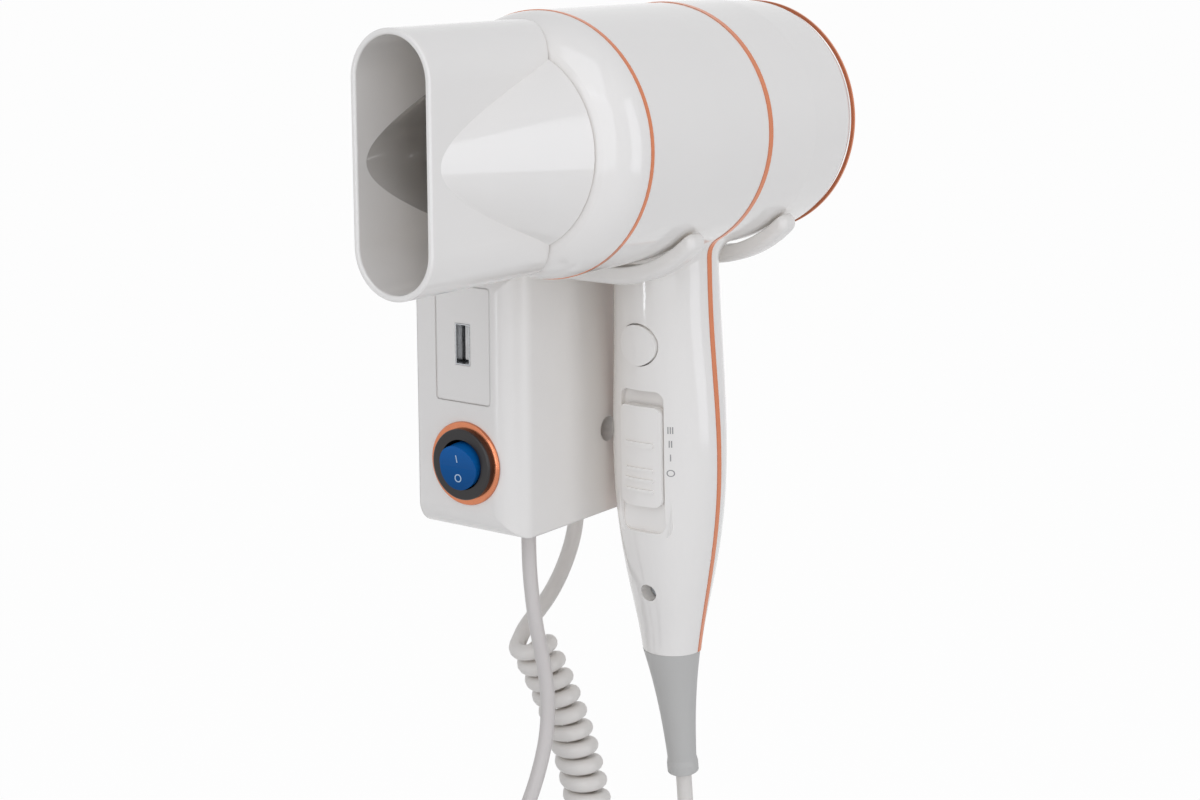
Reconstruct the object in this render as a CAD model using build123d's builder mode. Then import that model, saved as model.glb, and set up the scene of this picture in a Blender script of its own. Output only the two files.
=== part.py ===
from build123d import *

import os
from math import acos, asin, ceil, cos, degrees, pi, radians, sin, sqrt, tan

# Wall-mounted hair dryer resting in the fork of its holder, in millimetres.
# The wall is the plane y = 0, the room is on the -Y side, the nozzle points to -X and +Z is up.
# The origin is the middle of the holder's back, where it is screwed to the wall.

os.makedirs("parts", exist_ok=True)

# Holder box
base_width = 99
base_depth = 39.3
base_height = 86
base_wall = 2.2
base_upright_round = 9
base_corner_round = 8

# Wall plate inside the open back of the box, with two screw holes one above the other
plate_thick = 2.4
plate_gap = 0.4
wall_screw_spacing = 60
wall_screw_hole = 4.5

# Screw that draws the box onto the wall plate
base_screw_z = -15.2
base_screw_bore = 8.2
base_screw_depth = 12
base_screw_head = 6.8
base_screw_head_thick = 2.4
base_screw_length = 16
seat_thick = 2
screw_core = 1.3
screw_fit = 0.05
screw_clear = 0.5
screw_end_gap = 1
plate_post_step = 1

# Barrel
barrel_reach = 21.7
barrel_lift = 2.4
barrel_radius = 39
rear_radius = 37.6
wall = 2
front_ring_x = -63.6
rear_ring_x = 53.4
rear_end_x = 55.2
taper_start_x = 27
dome_radius = 15.7
outlet_x = -78
outlet_lip = 2.5

# Copper trim
ring_width = 1.5
rear_ring_width = 0.8
ring_depth = 0.9
ring_proud = 0.15
strip_width = 2.2
strip_depth = 1.0
strip_proud = 0.2

# Handle: height, middle, half depth (X) and half width (Y) of its sections
handle_sections = [
    (62, 1.0, 17.0, 16.8),
    (30, 1.9, 17.1, 17.1),
    (0, 3.5, 17.0, 18.6),
    (-28, 4.4, 16.9, 18.9),
    (-50, 5.1, 16.0, 16.6),
    (-70, 5.7, 12.6, 13.0),
    (-88, 6.4, 9.8, 9.8),
]
handle_floor = 3
neck_fillet = 7
split_bend_z = 48
split_foot_x = 8

# Nozzle
nozzle_length = 52.6
nozzle_width = 28
nozzle_height = 73.6
nozzle_wall = 1.8
nozzle_rim = 0.7
nozzle_gap = 0.4
cone_tip_inset = 4
spigot_length = 8
spigot_wall = 1.5
spigot_gap = 0.4

# Outlet sleeve inside the front shell
sleeve_bore = 27.8
sleeve_wall = 1.6
sleeve_length = 17
shelf_inset = 9
shelf_thick = 1.4
shelf_lip = 1.8
grille_thick = 2
grille_fit = 0.2
grille_bar = 1.6
grille_ring_radii = [8, 17]
grille_spokes = 6

# Heater
former_gap = 2.3
former_thick = 0.8
heater_wire = 1.4
heater_turns = 8
heater_pitch = 5
heater_start_gap = 6
notch_gap = 0.3
cutout_size = (10, 7, 3)
cutout_round = 1

# Fan and motor
duct_gap = 0.6
duct_wall = 1.5
duct_front_x = -14
hub_wall = 1.5
hub_front = 2
vane_count = 5
vane_thick = 1.6
vane_length = 20
motor_radius = 13.9
motor_length = 24
motor_bevel = 1
motor_fit = 0.1
motor_boss = 1.5
motor_boss_radius = 4
shaft_radius = 1.5
shaft_fit = 0.06
shaft_in_motor = 10
shaft_end_gap = 1
impeller_gap = 3
impeller_tip_gap = 1.5
impeller_hub = 11
impeller_length = 14
impeller_nose = 3
blade_count = 7
blade_chord = 16
blade_thick = 1.4
blade_root_angle = 35
blade_tip_angle = 58

# Intake at the rear
rear_shelf_inset = 9.2
rear_shelf_thick = 3
rear_shelf_lip = 1
filter_thick = 1
filter_pitch = 7.5
filter_hole = 5.6
intake_dome = 6
intake_wall = 1.8
intake_fit = 0.3
intake_slot = 3.6
intake_rows = [(9, 5), (15.5, 8), (22, 11), (28.5, 14)]
intake_rib = 3

# Handle controls
button_z = 17.5
button_diameter = 13.2
button_gap = 0.35
button_travel = 2
button_flange = 15.4
button_flange_thick = 1.2
button_flange_x = -10.2
plunger_radius = 2.5
control_proud = 1.0
knob_z = -18.8
knob_length = 33
knob_width = 15.4
knob_round = 2.6
knob_gap = 0.4
knob_up = 4.4
knob_down = 8.8
grip_width = 11
grip_proud = 0.7
grip_round_share = 0.45
grip_bars = [(3.9, 1.8), (-4.2, 1.1), (-7.7, 1.1), (-11.2, 1.1)]
channel_top_gap = 0.6
channel_foot_gap = 0.2
channel_floor_x = -9.6
stem_width = 4
stem_length = 6
stem_depth = 6
stem_gap = 0.5
switch_x = -6.5
switch_width = 12
switch_height = 26
cool_switch_size = (8, 12)
board_x = 5
board_thick = 1.6
board_width = 22
board_low = -52
board_high = 32
board_post_heights = [22, -44]
board_post_radius = 3
ion_size = (9, 13, 24)
ion_z = -8
ion_round = 2
post_root_x = 25

# Handle screw
handle_screw_z = -65.7
handle_screw_bore = 5.8
handle_screw_head = 5.2
handle_screw_head_thick = 2.2
handle_screw_seat_x = 0
handle_screw_grip = 8

# Cord boot
boot_lean = 9
boot_length = 46
boot_neck = 6.1
boot_fit = 0.1
boot_flange = 6.9
boot_flange_thick = 3
boot_outline = [(-3, 10.2), (12, 7.5), (28, 5.7), (41, 4.9)]
boot_bead = 5.3
boot_bead_length = 3

# Fork
arm_x = 26.5
arm_width = 8.5
arm_drop = 6.6
arm_edge = 2.4
tip_angle = 42
tip_out = 5.6
tip_in = 1.2
fork_gap = 1
saddle_half = 36
saddle_back_y = -12
saddle_height = 14
saddle_round = 4
saddle_edge = 2
fork_screw_x = 24
fork_screw_y = -26
fork_screw_head = 6
fork_screw_length = 9

# USB socket and its panel on the nozzle side of the box
usb_y = -18.4
usb_z = 18.3
usb_panel_width = 21.4
usb_panel_height = 37
usb_panel_round = 1
usb_panel_thick = 1.2
usb_panel_fit = 0.15
usb_inset = 0.2
usb_shell_height = 13.1
usb_shell_width = 5.7
usb_shell_wall = 0.35
usb_shell_fit = 0.1
usb_depth = 14
usb_tongue = (10, 1.9, 11.1)
usb_tongue_shift = 0.8
usb_board_thick = 1.6
usb_board_width = 18
usb_post_radius = 2.5

# Rocker switch below it
rocker_y = -19.5
rocker_z = -19.8
trim_lip = 2
trim_thick = 1.1
trim_edge = 0.7
bezel_lip = 1.6
bezel_thick = 1.8
bezel_edge = 0.6
switch_body = 19.8
switch_fit = 0.2
switch_depth = 15
rocker_diameter = 14.6
rocker_well_gap = 0.8
rocker_well_depth = 9
rocker_pivot_depth = 3
rocker_crest = 4.4
rocker_skirt = 2.5
rocker_tilt = 7
pivot_radius = 1
pivot_fit = 0.05
pivot_inset = 0.5
terminal_size = (6.3, 0.8, 8)
terminal_spacing = 7

# Power board in the box
power_board = (36, 1.6, 62)
power_board_x = 26
power_board_y = -12
power_post_radius = 2.5
power_post_inset = 4
transformer_size = (20, 16, 18)
transformer_z = 15
terminal_block_size = (22, 11, 10)
terminal_block_z = -18
block_edge = 1

# Mains lead: the stretch that hangs from the box, then a tied coil and the plug
lead_diameter = 4.8
gland_radius = 4.2
gland_flange = 5.2
gland_flange_thick = 1
gland_length = 7
gland_fit = 0.1
lead_points = [
    (-28.5, -28),
    (-28.5, -28, -54),
    (-30, -30, -64),
    (-30.3, -32, -76),
    (-29, -34, -88),
    (-29, -36, -100),
    (-31, -37, -112),
    (-35, -37, -123),
    (-41, -37, -133),
    (-49, -36.6, -143),
    (-57, -36.2, -154),
]
coil_middle = (-95, -36, -182)
coil_radius = 26.4
coil_turns = 3
coil_step = 5.4
coil_tail = 42
coil_climb = 0.5
tie_width = 6
tie_thick = 1.2
tie_gap = 0.5
tie_round = 1
lead_last_run = 10
plug_profile = [(5, 0), (8, -10), (17, -17), (18, -34)]
plug_thick = 15
plug_round = 3
plug_edge = 1.5
pin_radius = 2.4
pin_round = 1
pin_length = 19
pin_spacing = 19

# Curly cord: from the box, through its curls, and up to the boot on the handle
curly_diameter = 5.4
curl_radius = 5.4
curl_pitch = 6.4
curl_count = 27.375
curl_start_turn = 0.375
curl_start = (-19, -21, -86.5)
curl_tilt = 27
curl_bend_radius = 205
curly_lead_in = [
    (17, -14),
    (17, -14, -52),
    (15, -14, -60),
    (10.7, -14.1, -67.2),
    (5, -14.3, -73.5),
    (-2.2, -14.5, -79),
]
curly_last_run = 8
curly_tail = [
    (2, -50, -270),
    (13, -61.5, -265),
    (20, -69.5, -252),
    (22, -73, -236),
    (21, -72.5, -219),
    (18.5, -70, -202),
    (16.5, -66.5, -186),
    (15.6, -63, -171),
    (16, -61, -157),
]

# Far enough for a cutter to pass through everything, and the little that others run past a face
reach = 200
over = 1

# Sizes that follow from those above
base_bottom = -base_height / 2
base_top = base_height / 2
base_side_x = -base_width / 2
base_front_y = -base_depth
barrel_y = base_front_y - barrel_reach
barrel_z = base_top + barrel_lift + barrel_radius
handle_foot = handle_sections[-1][0]
handle_foot_x = handle_sections[-1][1]
rear_taper = (rear_radius - barrel_radius) / (rear_end_x - taper_start_x)
rear_ring_radius = barrel_radius + rear_taper * (rear_ring_x - taper_start_x)
sleeve_end_x = outlet_x + sleeve_length
shelf_x = outlet_x + shelf_inset
rear_shelf_x = rear_end_x - rear_shelf_inset
shelf_bore = sleeve_bore - shelf_lip
former_half = sleeve_bore - former_gap
duct_radius = rear_radius - wall - duct_gap
duct_bore = duct_radius - duct_wall
rear_shelf_bore = duct_bore - rear_shelf_lip
impeller_radius = duct_bore - impeller_tip_gap
motor_front_x = duct_front_x + hub_front
motor_rear_x = motor_front_x + motor_length
impeller_x = motor_rear_x + motor_boss + impeller_gap
screw_joint_x = handle_screw_seat_x + seat_thick
switch_bezel = switch_body + 2 * bezel_lip
rocker_trim = switch_bezel + 2 * trim_lip
pivot_reach = switch_body / 2 - pivot_inset
barrel_plane = Plane(origin=(0, barrel_y, barrel_z), x_dir=(1, 0, 0), z_dir=(0, -1, 0))
barrel_axis = Axis((0, barrel_y, barrel_z), (1, 0, 0))


def across_barrel(x):
    """Plane square to the barrel at x, facing -X, with its own x along -Y and its own y up."""
    return Plane(origin=(x, barrel_y, barrel_z), x_dir=(0, -1, 0), z_dir=(-1, 0, 0))


def side_plane(x, y=0, z=0):
    """Plane facing the nozzle side (-X) at a point, with its own x along -Y and its own y up."""
    return Plane(origin=(x, y, z), x_dir=(0, -1, 0), z_dir=(-1, 0, 0))


def room_plane(x, y, z):
    """Upright plane facing the room at a point, with its own x along X and its own y up."""
    return Plane(origin=(x, y, z), x_dir=(1, 0, 0), z_dir=(0, -1, 0))


def turned(profile):
    """Solid of revolution of a closed outline of (x, radius) points about the barrel."""
    with BuildPart() as solid:
        with BuildSketch(barrel_plane):
            with BuildLine():
                Polyline(*profile, close=True)
            make_face()
        revolve(axis=barrel_axis)
    return solid.part


def tube(x_from, x_to, outer, inner):
    """Ring about the barrel axis between two x, from the inner to the outer radius."""
    return turned([(x_from, inner), (x_to, inner), (x_to, outer), (x_from, outer)])


def round_bar(plane, radius, length):
    """Cylinder that starts on a plane and runs along its normal."""
    with BuildPart() as bar:
        with BuildSketch(plane):
            Circle(radius)
        extrude(amount=length)
    return bar.part


def barrel_outline(inset, front_x):
    """Rounded front of the barrel as an arc, from the front ring to the outlet."""
    open_angle = degrees(acos((front_x - front_ring_x) / (dome_radius - inset)))
    middle = (front_ring_x, barrel_radius - dome_radius)
    return CenterArc(middle, dome_radius - inset, 90, open_angle - 90)


def front_dome(gap):
    """The barrel's rounded front, grown by a gap, as a cutter for the nozzle's back edge."""
    front_x = outlet_x - gap
    with BuildPart() as dome:
        with BuildSketch(barrel_plane):
            with BuildLine():
                arc = barrel_outline(-gap, front_x)
                Polyline(arc @ 1, (front_x, 0), (0, 0), (0, barrel_radius + gap), arc @ 0)
            make_face()
        revolve(axis=barrel_axis)
    return dome.part


def dryer_form(inset, neck=0, front_x=outlet_x, rear_x=rear_end_x, foot=handle_foot):
    """Barrel and handle as one solid, with the outer faces set in by inset and a fillet at the neck."""
    radius = barrel_radius - inset
    rear = radius + rear_taper * (rear_x - taper_start_x)
    with BuildPart() as form:
        with BuildSketch(barrel_plane):
            with BuildLine():
                arc = barrel_outline(inset, front_x)
                Polyline(arc @ 1, (front_x, 0), (rear_x, 0), (rear_x, rear), (taper_start_x, radius), arc @ 0)
            make_face()
        revolve(axis=barrel_axis)
        for height, middle, half_depth, half_width in handle_sections:
            with BuildSketch(Plane.XY.offset(height)):
                with Locations((middle, barrel_y)):
                    Ellipse(half_depth - inset, half_width - inset)
        loft()
        if foot > handle_foot:
            with BuildSketch(Plane.XY.offset(foot)):
                with Locations((handle_foot_x, barrel_y)):
                    Rectangle(reach, reach)
            extrude(amount=-reach, mode=Mode.SUBTRACT)
        if neck > 0:
            barrel_underside = barrel_z - barrel_radius
            low = barrel_underside - neck / 2
            high = barrel_underside + 2 * neck
            fillet(form.edges().filter_by(lambda edge: low < edge.center().Z < high), radius=neck)
    return form.part


def nozzle_side_of_split(shift):
    """Everything on the nozzle side of the surface between the two shells, moved by shift along X."""
    lean = split_foot_x / (split_bend_z - handle_foot)
    foot_x = shift + lean * (split_bend_z + reach)
    with BuildPart() as side:
        with BuildSketch(Plane.XZ):
            with BuildLine():
                Polyline(
                    (-reach, reach),
                    (shift, reach),
                    (shift, split_bend_z),
                    (foot_x, -reach),
                    (-reach, -reach),
                    close=True,
                )
            make_face()
        extrude(amount=reach, both=True)
    return side.part


def box_form(inset, back_y, front_y):
    """The holder box's rounded outline, set in by inset, between two depths."""
    with BuildPart() as box:
        with BuildSketch(Plane.XY.offset(base_bottom + inset)):
            with Locations((0, base_front_y / 2)):
                Rectangle(base_width - 2 * inset, base_depth - 2 * inset)
            fillet(vertices(), radius=base_upright_round - inset)
            with Locations((0, base_front_y / 4)):
                Rectangle(base_width - 2 * inset, base_depth / 2 + 2 * inset)
        extrude(amount=base_height - 2 * inset)
        with BuildSketch(room_plane(0, back_y, 0)):
            RectangleRounded(base_width - 2 * inset, base_height - 2 * inset, base_corner_round - inset)
        extrude(amount=back_y - front_y, mode=Mode.INTERSECT)
    return box.part


def biarc_middle(start, start_dir, end, end_dir):
    """Point where the two tangent arcs meet that join two points with the given directions."""
    chord = end - start
    along = chord.dot(start_dir + end_dir)
    spread = 2 * (1 - start_dir.dot(end_dir))
    step = (-along + sqrt(along**2 + spread * chord.dot(chord))) / spread
    return (start + start_dir * step + end - end_dir * step) * 0.5


def heading(place, turn):
    """Unit direction of a winding at the given turn."""
    small = 1e-4
    return (place(turn + small) - place(turn - small)).normalized()


def wound_arcs(place, turns):
    """Pairs of tangent arcs along a winding, one pair for each half turn, in the line being built."""
    steps = ceil(turns * 2)
    marks = [turns * i / steps for i in range(steps + 1)]
    for now, then in zip(marks, marks[1:]):
        start_dir = heading(place, now)
        middle = biarc_middle(place(now), start_dir, place(then), heading(place, then))
        first = TangentArc(place(now), middle, tangent=start_dir)
        TangentArc(middle, place(then), tangent=first % 1)


def self_gap(place, turns, diameter):
    """Least clear distance between any turn of a winding and the turns after it."""
    per_turn = 36
    points = [place(i / per_turn) for i in range(int(turns * per_turn) + 1)]
    least = reach
    for i, point in enumerate(points):
        for other in points[i + per_turn // 2 :]:
            least = min(least, (other - point).length)
    return least - diameter


def route(points):
    """Straight runs joined by arcs as large as the runs allow, in the line being built."""
    share = 0.45
    radii = []
    for before, here, after in zip(points, points[1:], points[2:]):
        turn = (here - before).get_angle(after - here)
        shorter = min((here - before).length, (after - here).length)
        radii.append(share * shorter / tan(radians(turn / 2)))
    print("bend radii", [round(radius, 1) for radius in radii])
    return FilletPolyline(*points, radius=radii)


def save(piece, name):
    """Label one finished piece and write it to its own file."""
    piece.label = name
    export_step(piece, f"parts/{name}.step")


def report_tube(name, solid, line, diameter):
    """Print a cord's length and how its volume compares with its section times its length."""
    length = sum(edge.length for edge in line.edges())
    expected = length * pi * diameter**2 / 4
    print(f"{name}: length {length:.1f}, volume ratio {solid.volume / expected:.4f}")


# Full outer form of barrel and handle, its hollow, and the form that the controls stand proud to
outer_form = dryer_form(0, neck_fillet)
hollow_form = dryer_form(wall, 0, outlet_x + outlet_lip, rear_end_x + over, handle_foot + handle_floor)
proud_form = dryer_form(-control_proud)
grip_form = dryer_form(-control_proud - grip_proud)

# Copper strip: a ring round the barrel that runs on down both sides of the handle
with BuildPart() as seam_strip:
    add(dryer_form(-strip_proud, neck_fillet - strip_proud))
    add(dryer_form(strip_depth, neck_fillet + strip_depth, outlet_x + outlet_lip), mode=Mode.SUBTRACT)
    add(nozzle_side_of_split(strip_width / 2), mode=Mode.INTERSECT)
    add(nozzle_side_of_split(-strip_width / 2), mode=Mode.SUBTRACT)
save(seam_strip.part, "seam_strip")

# Thin copper rings near the two ends of the barrel
for ring_x, width, radius, name in (
    (front_ring_x, ring_width, barrel_radius, "front_trim_ring"),
    (rear_ring_x, rear_ring_width, rear_ring_radius, "rear_trim_ring"),
):
    with BuildPart() as trim_ring:
        add(tube(ring_x - width / 2, ring_x + width / 2, radius + ring_proud, radius - ring_depth))
    save(trim_ring.part, name)

# Hole for the cord boot in the foot of both handle halves
boot_hole = round_bar(
    Plane(origin=(handle_foot_x, barrel_y, handle_foot - over)), boot_neck + boot_fit, handle_floor + 2 * over
)

# Tube for the handle screw on the front shell's inside
with BuildPart() as front_screw_tube:
    add(round_bar(side_plane(screw_joint_x, barrel_y, handle_screw_z), handle_screw_bore / 2 + wall, reach))
    add(outer_form, mode=Mode.INTERSECT)

# Front shell: front of the barrel with the outlet sleeve, and the front half of the handle
channel_width = knob_width + 2 * knob_gap
channel_length = knob_length + knob_up + knob_down + channel_top_gap + channel_foot_gap
channel_z = knob_z + (knob_up + channel_top_gap - knob_down - channel_foot_gap) / 2
with BuildPart() as front_shell:
    add(outer_form)
    add(hollow_form, mode=Mode.SUBTRACT)
    add(tube(outlet_x + outlet_lip, sleeve_end_x, sleeve_bore + sleeve_wall, sleeve_bore))
    add(round_bar(across_barrel(sleeve_end_x), sleeve_bore, sleeve_length + over), mode=Mode.SUBTRACT)
    add(tube(shelf_x - shelf_thick, shelf_x, sleeve_bore + sleeve_wall / 2, shelf_bore))
    # Slide channel of the knob: its walls and floor, then its hollow and the slot for the stem
    with BuildSketch(side_plane(channel_floor_x + wall, barrel_y, channel_z)):
        RectangleRounded(channel_width + 2 * wall, channel_length + 2 * wall, knob_round + wall)
    extrude(amount=wall)
    with BuildSketch(side_plane(channel_floor_x, barrel_y, channel_z)):
        RectangleRounded(channel_width, channel_length, knob_round + knob_gap)
    extrude(amount=reach, mode=Mode.SUBTRACT)
    with BuildSketch(side_plane(channel_floor_x + 2 * wall, barrel_y, knob_z + (knob_up - knob_down) / 2)):
        Rectangle(stem_width + 2 * stem_gap, stem_length + knob_up + knob_down + 2 * stem_gap)
    extrude(amount=3 * wall, mode=Mode.SUBTRACT)
    # Button bore
    add(
        round_bar(side_plane(button_flange_x, barrel_y, button_z), button_diameter / 2 + button_gap, reach),
        mode=Mode.SUBTRACT,
    )
    # Screw tube of the handle
    add(front_screw_tube.part)
    add(
        round_bar(side_plane(handle_screw_seat_x, barrel_y, handle_screw_z), handle_screw_bore / 2, reach),
        mode=Mode.SUBTRACT,
    )
    add(
        round_bar(side_plane(screw_joint_x, barrel_y, handle_screw_z), screw_core + screw_clear, reach),
        mode=Mode.SUBTRACT,
    )
    # Groove of the front ring, the rebate of the strip and the hole for the cord boot
    add(
        tube(
            front_ring_x - ring_width / 2,
            front_ring_x + ring_width / 2,
            barrel_radius + over,
            barrel_radius - ring_depth,
        ),
        mode=Mode.SUBTRACT,
    )
    add(nozzle_side_of_split(strip_width / 2), mode=Mode.INTERSECT)
    add(seam_strip.part, mode=Mode.SUBTRACT)
    add(boot_hole, mode=Mode.SUBTRACT)
save(front_shell.part, "front_shell")

# Posts on the rear shell's inside: one for the handle screw and two for the board
with BuildPart() as rear_posts:
    add(
        round_bar(
            side_plane(post_root_x, barrel_y, handle_screw_z),
            handle_screw_bore / 2 + wall,
            post_root_x - screw_joint_x,
        )
    )
    board_post_length = post_root_x - board_x - board_thick
    for post_z in board_post_heights:
        add(round_bar(side_plane(post_root_x, barrel_y, post_z), board_post_radius, board_post_length))
    add(
        round_bar(
            side_plane(screw_joint_x + handle_screw_grip, barrel_y, handle_screw_z),
            screw_core + screw_fit,
            handle_screw_grip,
        ),
        mode=Mode.SUBTRACT,
    )
    add(outer_form, mode=Mode.INTERSECT)

# Rear shell: rear of the barrel with the intake shelf, and the rear half of the handle
with BuildPart() as rear_shell:
    add(outer_form)
    add(hollow_form, mode=Mode.SUBTRACT)
    add(tube(rear_shelf_x, rear_shelf_x + rear_shelf_thick, rear_radius - wall / 2, rear_shelf_bore))
    add(nozzle_side_of_split(strip_width / 2), mode=Mode.SUBTRACT)
    add(rear_posts.part)
    add(
        tube(
            rear_ring_x - rear_ring_width / 2,
            rear_ring_x + rear_ring_width / 2,
            barrel_radius,
            rear_ring_radius - ring_depth,
        ),
        mode=Mode.SUBTRACT,
    )
    add(boot_hole, mode=Mode.SUBTRACT)
save(rear_shell.part, "rear_shell")

# Nozzle: a flat slot-shaped duct with a cone on each side that opens to the round outlet
mouth_x = outlet_x - nozzle_length
cone_tip_x = mouth_x + cone_tip_inset
cone_end_x = outlet_x - nozzle_gap
cone_radius = barrel_radius - dome_radius + sqrt(dome_radius**2 - (front_ring_x - outlet_x) ** 2)
slab_length = front_ring_x - mouth_x
with BuildPart() as nozzle_hollow:
    with BuildSketch(across_barrel(mouth_x - over)):
        SlotOverall(nozzle_height - 2 * nozzle_wall, nozzle_width - 2 * nozzle_wall, rotation=90)
    extrude(amount=-slab_length)
    add(front_dome(nozzle_gap + nozzle_wall), mode=Mode.SUBTRACT)
    add(
        turned(
            [
                (cone_tip_x, 0),
                (cone_end_x - nozzle_wall, 0),
                (cone_end_x - nozzle_wall, cone_radius - nozzle_wall),
                (cone_tip_x, nozzle_width / 2 - nozzle_wall),
            ]
        )
    )
spigot_radius = sleeve_bore - spigot_gap
with BuildPart() as nozzle:
    with BuildSketch(across_barrel(mouth_x)):
        SlotOverall(nozzle_height, nozzle_width, rotation=90)
    extrude(amount=-slab_length)
    add(
        turned(
            [(cone_tip_x, 0), (cone_end_x, 0), (cone_end_x, cone_radius), (cone_tip_x, nozzle_width / 2)]
        )
    )
    add(front_dome(nozzle_gap), mode=Mode.SUBTRACT)
    add(nozzle_hollow.part, mode=Mode.SUBTRACT)
    spigot_end_x = outlet_x + spigot_length - nozzle_gap
    add(tube(cone_end_x - nozzle_wall / 2, spigot_end_x, spigot_radius, spigot_radius - spigot_wall))
    add(
        round_bar(across_barrel(spigot_end_x), spigot_radius - spigot_wall, spigot_length + 2 * nozzle_wall),
        mode=Mode.SUBTRACT,
    )
    fillet(nozzle.faces().sort_by(Axis.X)[0].edges(), radius=nozzle_rim)
save(nozzle.part, "nozzle")

# Outlet grille: rings and bars behind the shelf of the sleeve
with BuildPart() as outlet_grille:
    with BuildSketch(across_barrel(shelf_x)):
        Circle(sleeve_bore - grille_fit)
        Circle(shelf_bore - grille_bar, mode=Mode.SUBTRACT)
        for ring_radius in grille_ring_radii:
            Circle(ring_radius)
            Circle(ring_radius - grille_bar, mode=Mode.SUBTRACT)
        with PolarLocations(shelf_bore / 2 + grille_ring_radii[0] / 2, grille_spokes):
            Rectangle(shelf_bore - grille_ring_radii[0] + grille_bar, grille_bar)
    extrude(amount=-grille_thick)
save(outlet_grille.part, "outlet_grille")

# Heater: two crossed boards with notches, and the wire wound round them
former_front_x = shelf_x + grille_thick
heater_radius = former_half - heater_wire / 2 - former_thick
heater_start_x = former_front_x + heater_start_gap


def heater_place(turn):
    """Point on the heater wire after a number of turns."""
    angle = 2 * pi * turn
    x = heater_start_x + heater_pitch * turn
    return Vector(x, barrel_y + heater_radius * cos(angle), barrel_z + heater_radius * sin(angle))


with BuildPart() as heater_former:
    former_length = duct_front_x - former_front_x
    with Locations((former_front_x + former_length / 2, barrel_y, barrel_z)):
        Box(former_length, former_thick, 2 * former_half)
        Box(former_length, 2 * former_half, former_thick)
    notch_depth = former_half - heater_radius + heater_wire
    for quarter in range(4 * heater_turns + 1):
        outward = heater_place(quarter / 4) - Vector(0, barrel_y, barrel_z)
        rise = 1 + (notch_depth - heater_wire / 2 - notch_gap) / heater_radius
        with Locations((outward.X, barrel_y + outward.Y * rise, barrel_z + outward.Z * rise)):
            Box(heater_wire + 2 * notch_gap, 2 * notch_depth, 2 * notch_depth, mode=Mode.SUBTRACT)
save(heater_former.part, "heater_former")

with BuildPart() as heater_wire_coil:
    with BuildLine() as heater_line:
        wound_arcs(heater_place, heater_turns)
    with BuildSketch(Plane(origin=heater_place(0), z_dir=heading(heater_place, 0))):
        Circle(heater_wire / 2)
    sweep()
save(heater_wire_coil.part, "heater_wire")
print("heater wire gap", round(self_gap(heater_place, heater_turns, heater_wire), 2))

with BuildPart() as thermal_cutout:
    length, width, height = cutout_size
    with Locations((duct_front_x - length, barrel_y + width, barrel_z + former_thick / 2 + height / 2)):
        Box(length, width, height)
    fillet(thermal_cutout.edges().filter_by(Axis.Z), radius=cutout_round)
save(thermal_cutout.part, "thermal_cutout")

# Fan duct: an outer tube, a cup for the motor and the vanes between them
hub_bore = motor_radius + motor_fit
hub_radius = hub_bore + hub_wall
with BuildPart() as fan_duct:
    add(tube(duct_front_x, rear_shelf_x, duct_radius, duct_bore))
    add(tube(duct_front_x, motor_rear_x, hub_radius, hub_bore))
    add(round_bar(across_barrel(motor_front_x), hub_radius, hub_front))
    with BuildSketch(across_barrel(duct_front_x)):
        with PolarLocations((hub_radius + duct_bore) / 2, vane_count):
            Rectangle(duct_bore - hub_radius + over, vane_thick)
    extrude(amount=-vane_length)
save(fan_duct.part, "fan_duct")

with BuildPart() as motor:
    add(
        turned(
            [
                (motor_front_x, 0),
                (motor_front_x, motor_radius - motor_bevel),
                (motor_front_x + motor_bevel, motor_radius),
                (motor_rear_x - motor_bevel, motor_radius),
                (motor_rear_x, motor_radius - motor_bevel),
                (motor_rear_x, motor_boss_radius),
                (motor_rear_x + motor_boss, motor_boss_radius),
                (motor_rear_x + motor_boss, 0),
            ]
        )
    )
    shaft_bore_plane = across_barrel(motor_rear_x + motor_boss)
    add(
        round_bar(shaft_bore_plane, shaft_radius + shaft_fit, shaft_in_motor + motor_boss),
        mode=Mode.SUBTRACT,
    )
save(motor.part, "motor")

shaft_end_x = impeller_x + impeller_length
shaft_length = shaft_end_x - motor_rear_x + shaft_in_motor - shaft_end_gap
with BuildPart() as motor_shaft:
    add(round_bar(across_barrel(shaft_end_x), shaft_radius, shaft_length))
save(motor_shaft.part, "motor_shaft")

# Impeller: a hub with twisted blades
with BuildPart() as fan_impeller:
    blade_x = impeller_x + impeller_length / 2
    for blade in range(blade_count):
        angle = 2 * pi * blade / blade_count
        outward = Vector(0, cos(angle), sin(angle))
        for radius, pitch in ((impeller_hub - over, blade_root_angle), (impeller_radius, blade_tip_angle)):
            origin = Vector(blade_x, barrel_y, barrel_z) + outward * radius
            with BuildSketch(Plane(origin=origin, x_dir=(1, 0, 0), z_dir=outward)):
                Rectangle(blade_chord, blade_thick, rotation=pitch)
        loft()
    add(
        turned(
            [
                (impeller_x, 0),
                (impeller_x, impeller_hub),
                (shaft_end_x - impeller_nose, impeller_hub),
                (shaft_end_x, impeller_hub - impeller_nose),
                (shaft_end_x, 0),
            ]
        )
    )
    add(round_bar(across_barrel(shaft_end_x), shaft_radius, impeller_length), mode=Mode.SUBTRACT)
save(fan_impeller.part, "fan_impeller")

# Intake: a mesh disc on the rear shelf and the domed grille behind it
intake_x = rear_shelf_x + rear_shelf_thick
intake_radius = barrel_radius + rear_taper * (rear_end_x - taper_start_x) - wall - intake_fit
with BuildPart() as intake_filter:
    with BuildSketch(across_barrel(intake_x)):
        Circle(intake_radius)
        count = int(2 * rear_shelf_bore / filter_pitch)
        with GridLocations(filter_pitch, filter_pitch, count, count) as grid:
            spots = [spot.position for spot in grid.local_locations]
        with Locations(*[spot for spot in spots if spot.length < rear_shelf_bore - filter_hole]):
            Rectangle(filter_hole, filter_hole, mode=Mode.SUBTRACT)
    extrude(amount=-filter_thick)
save(intake_filter.part, "intake_filter")

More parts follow.
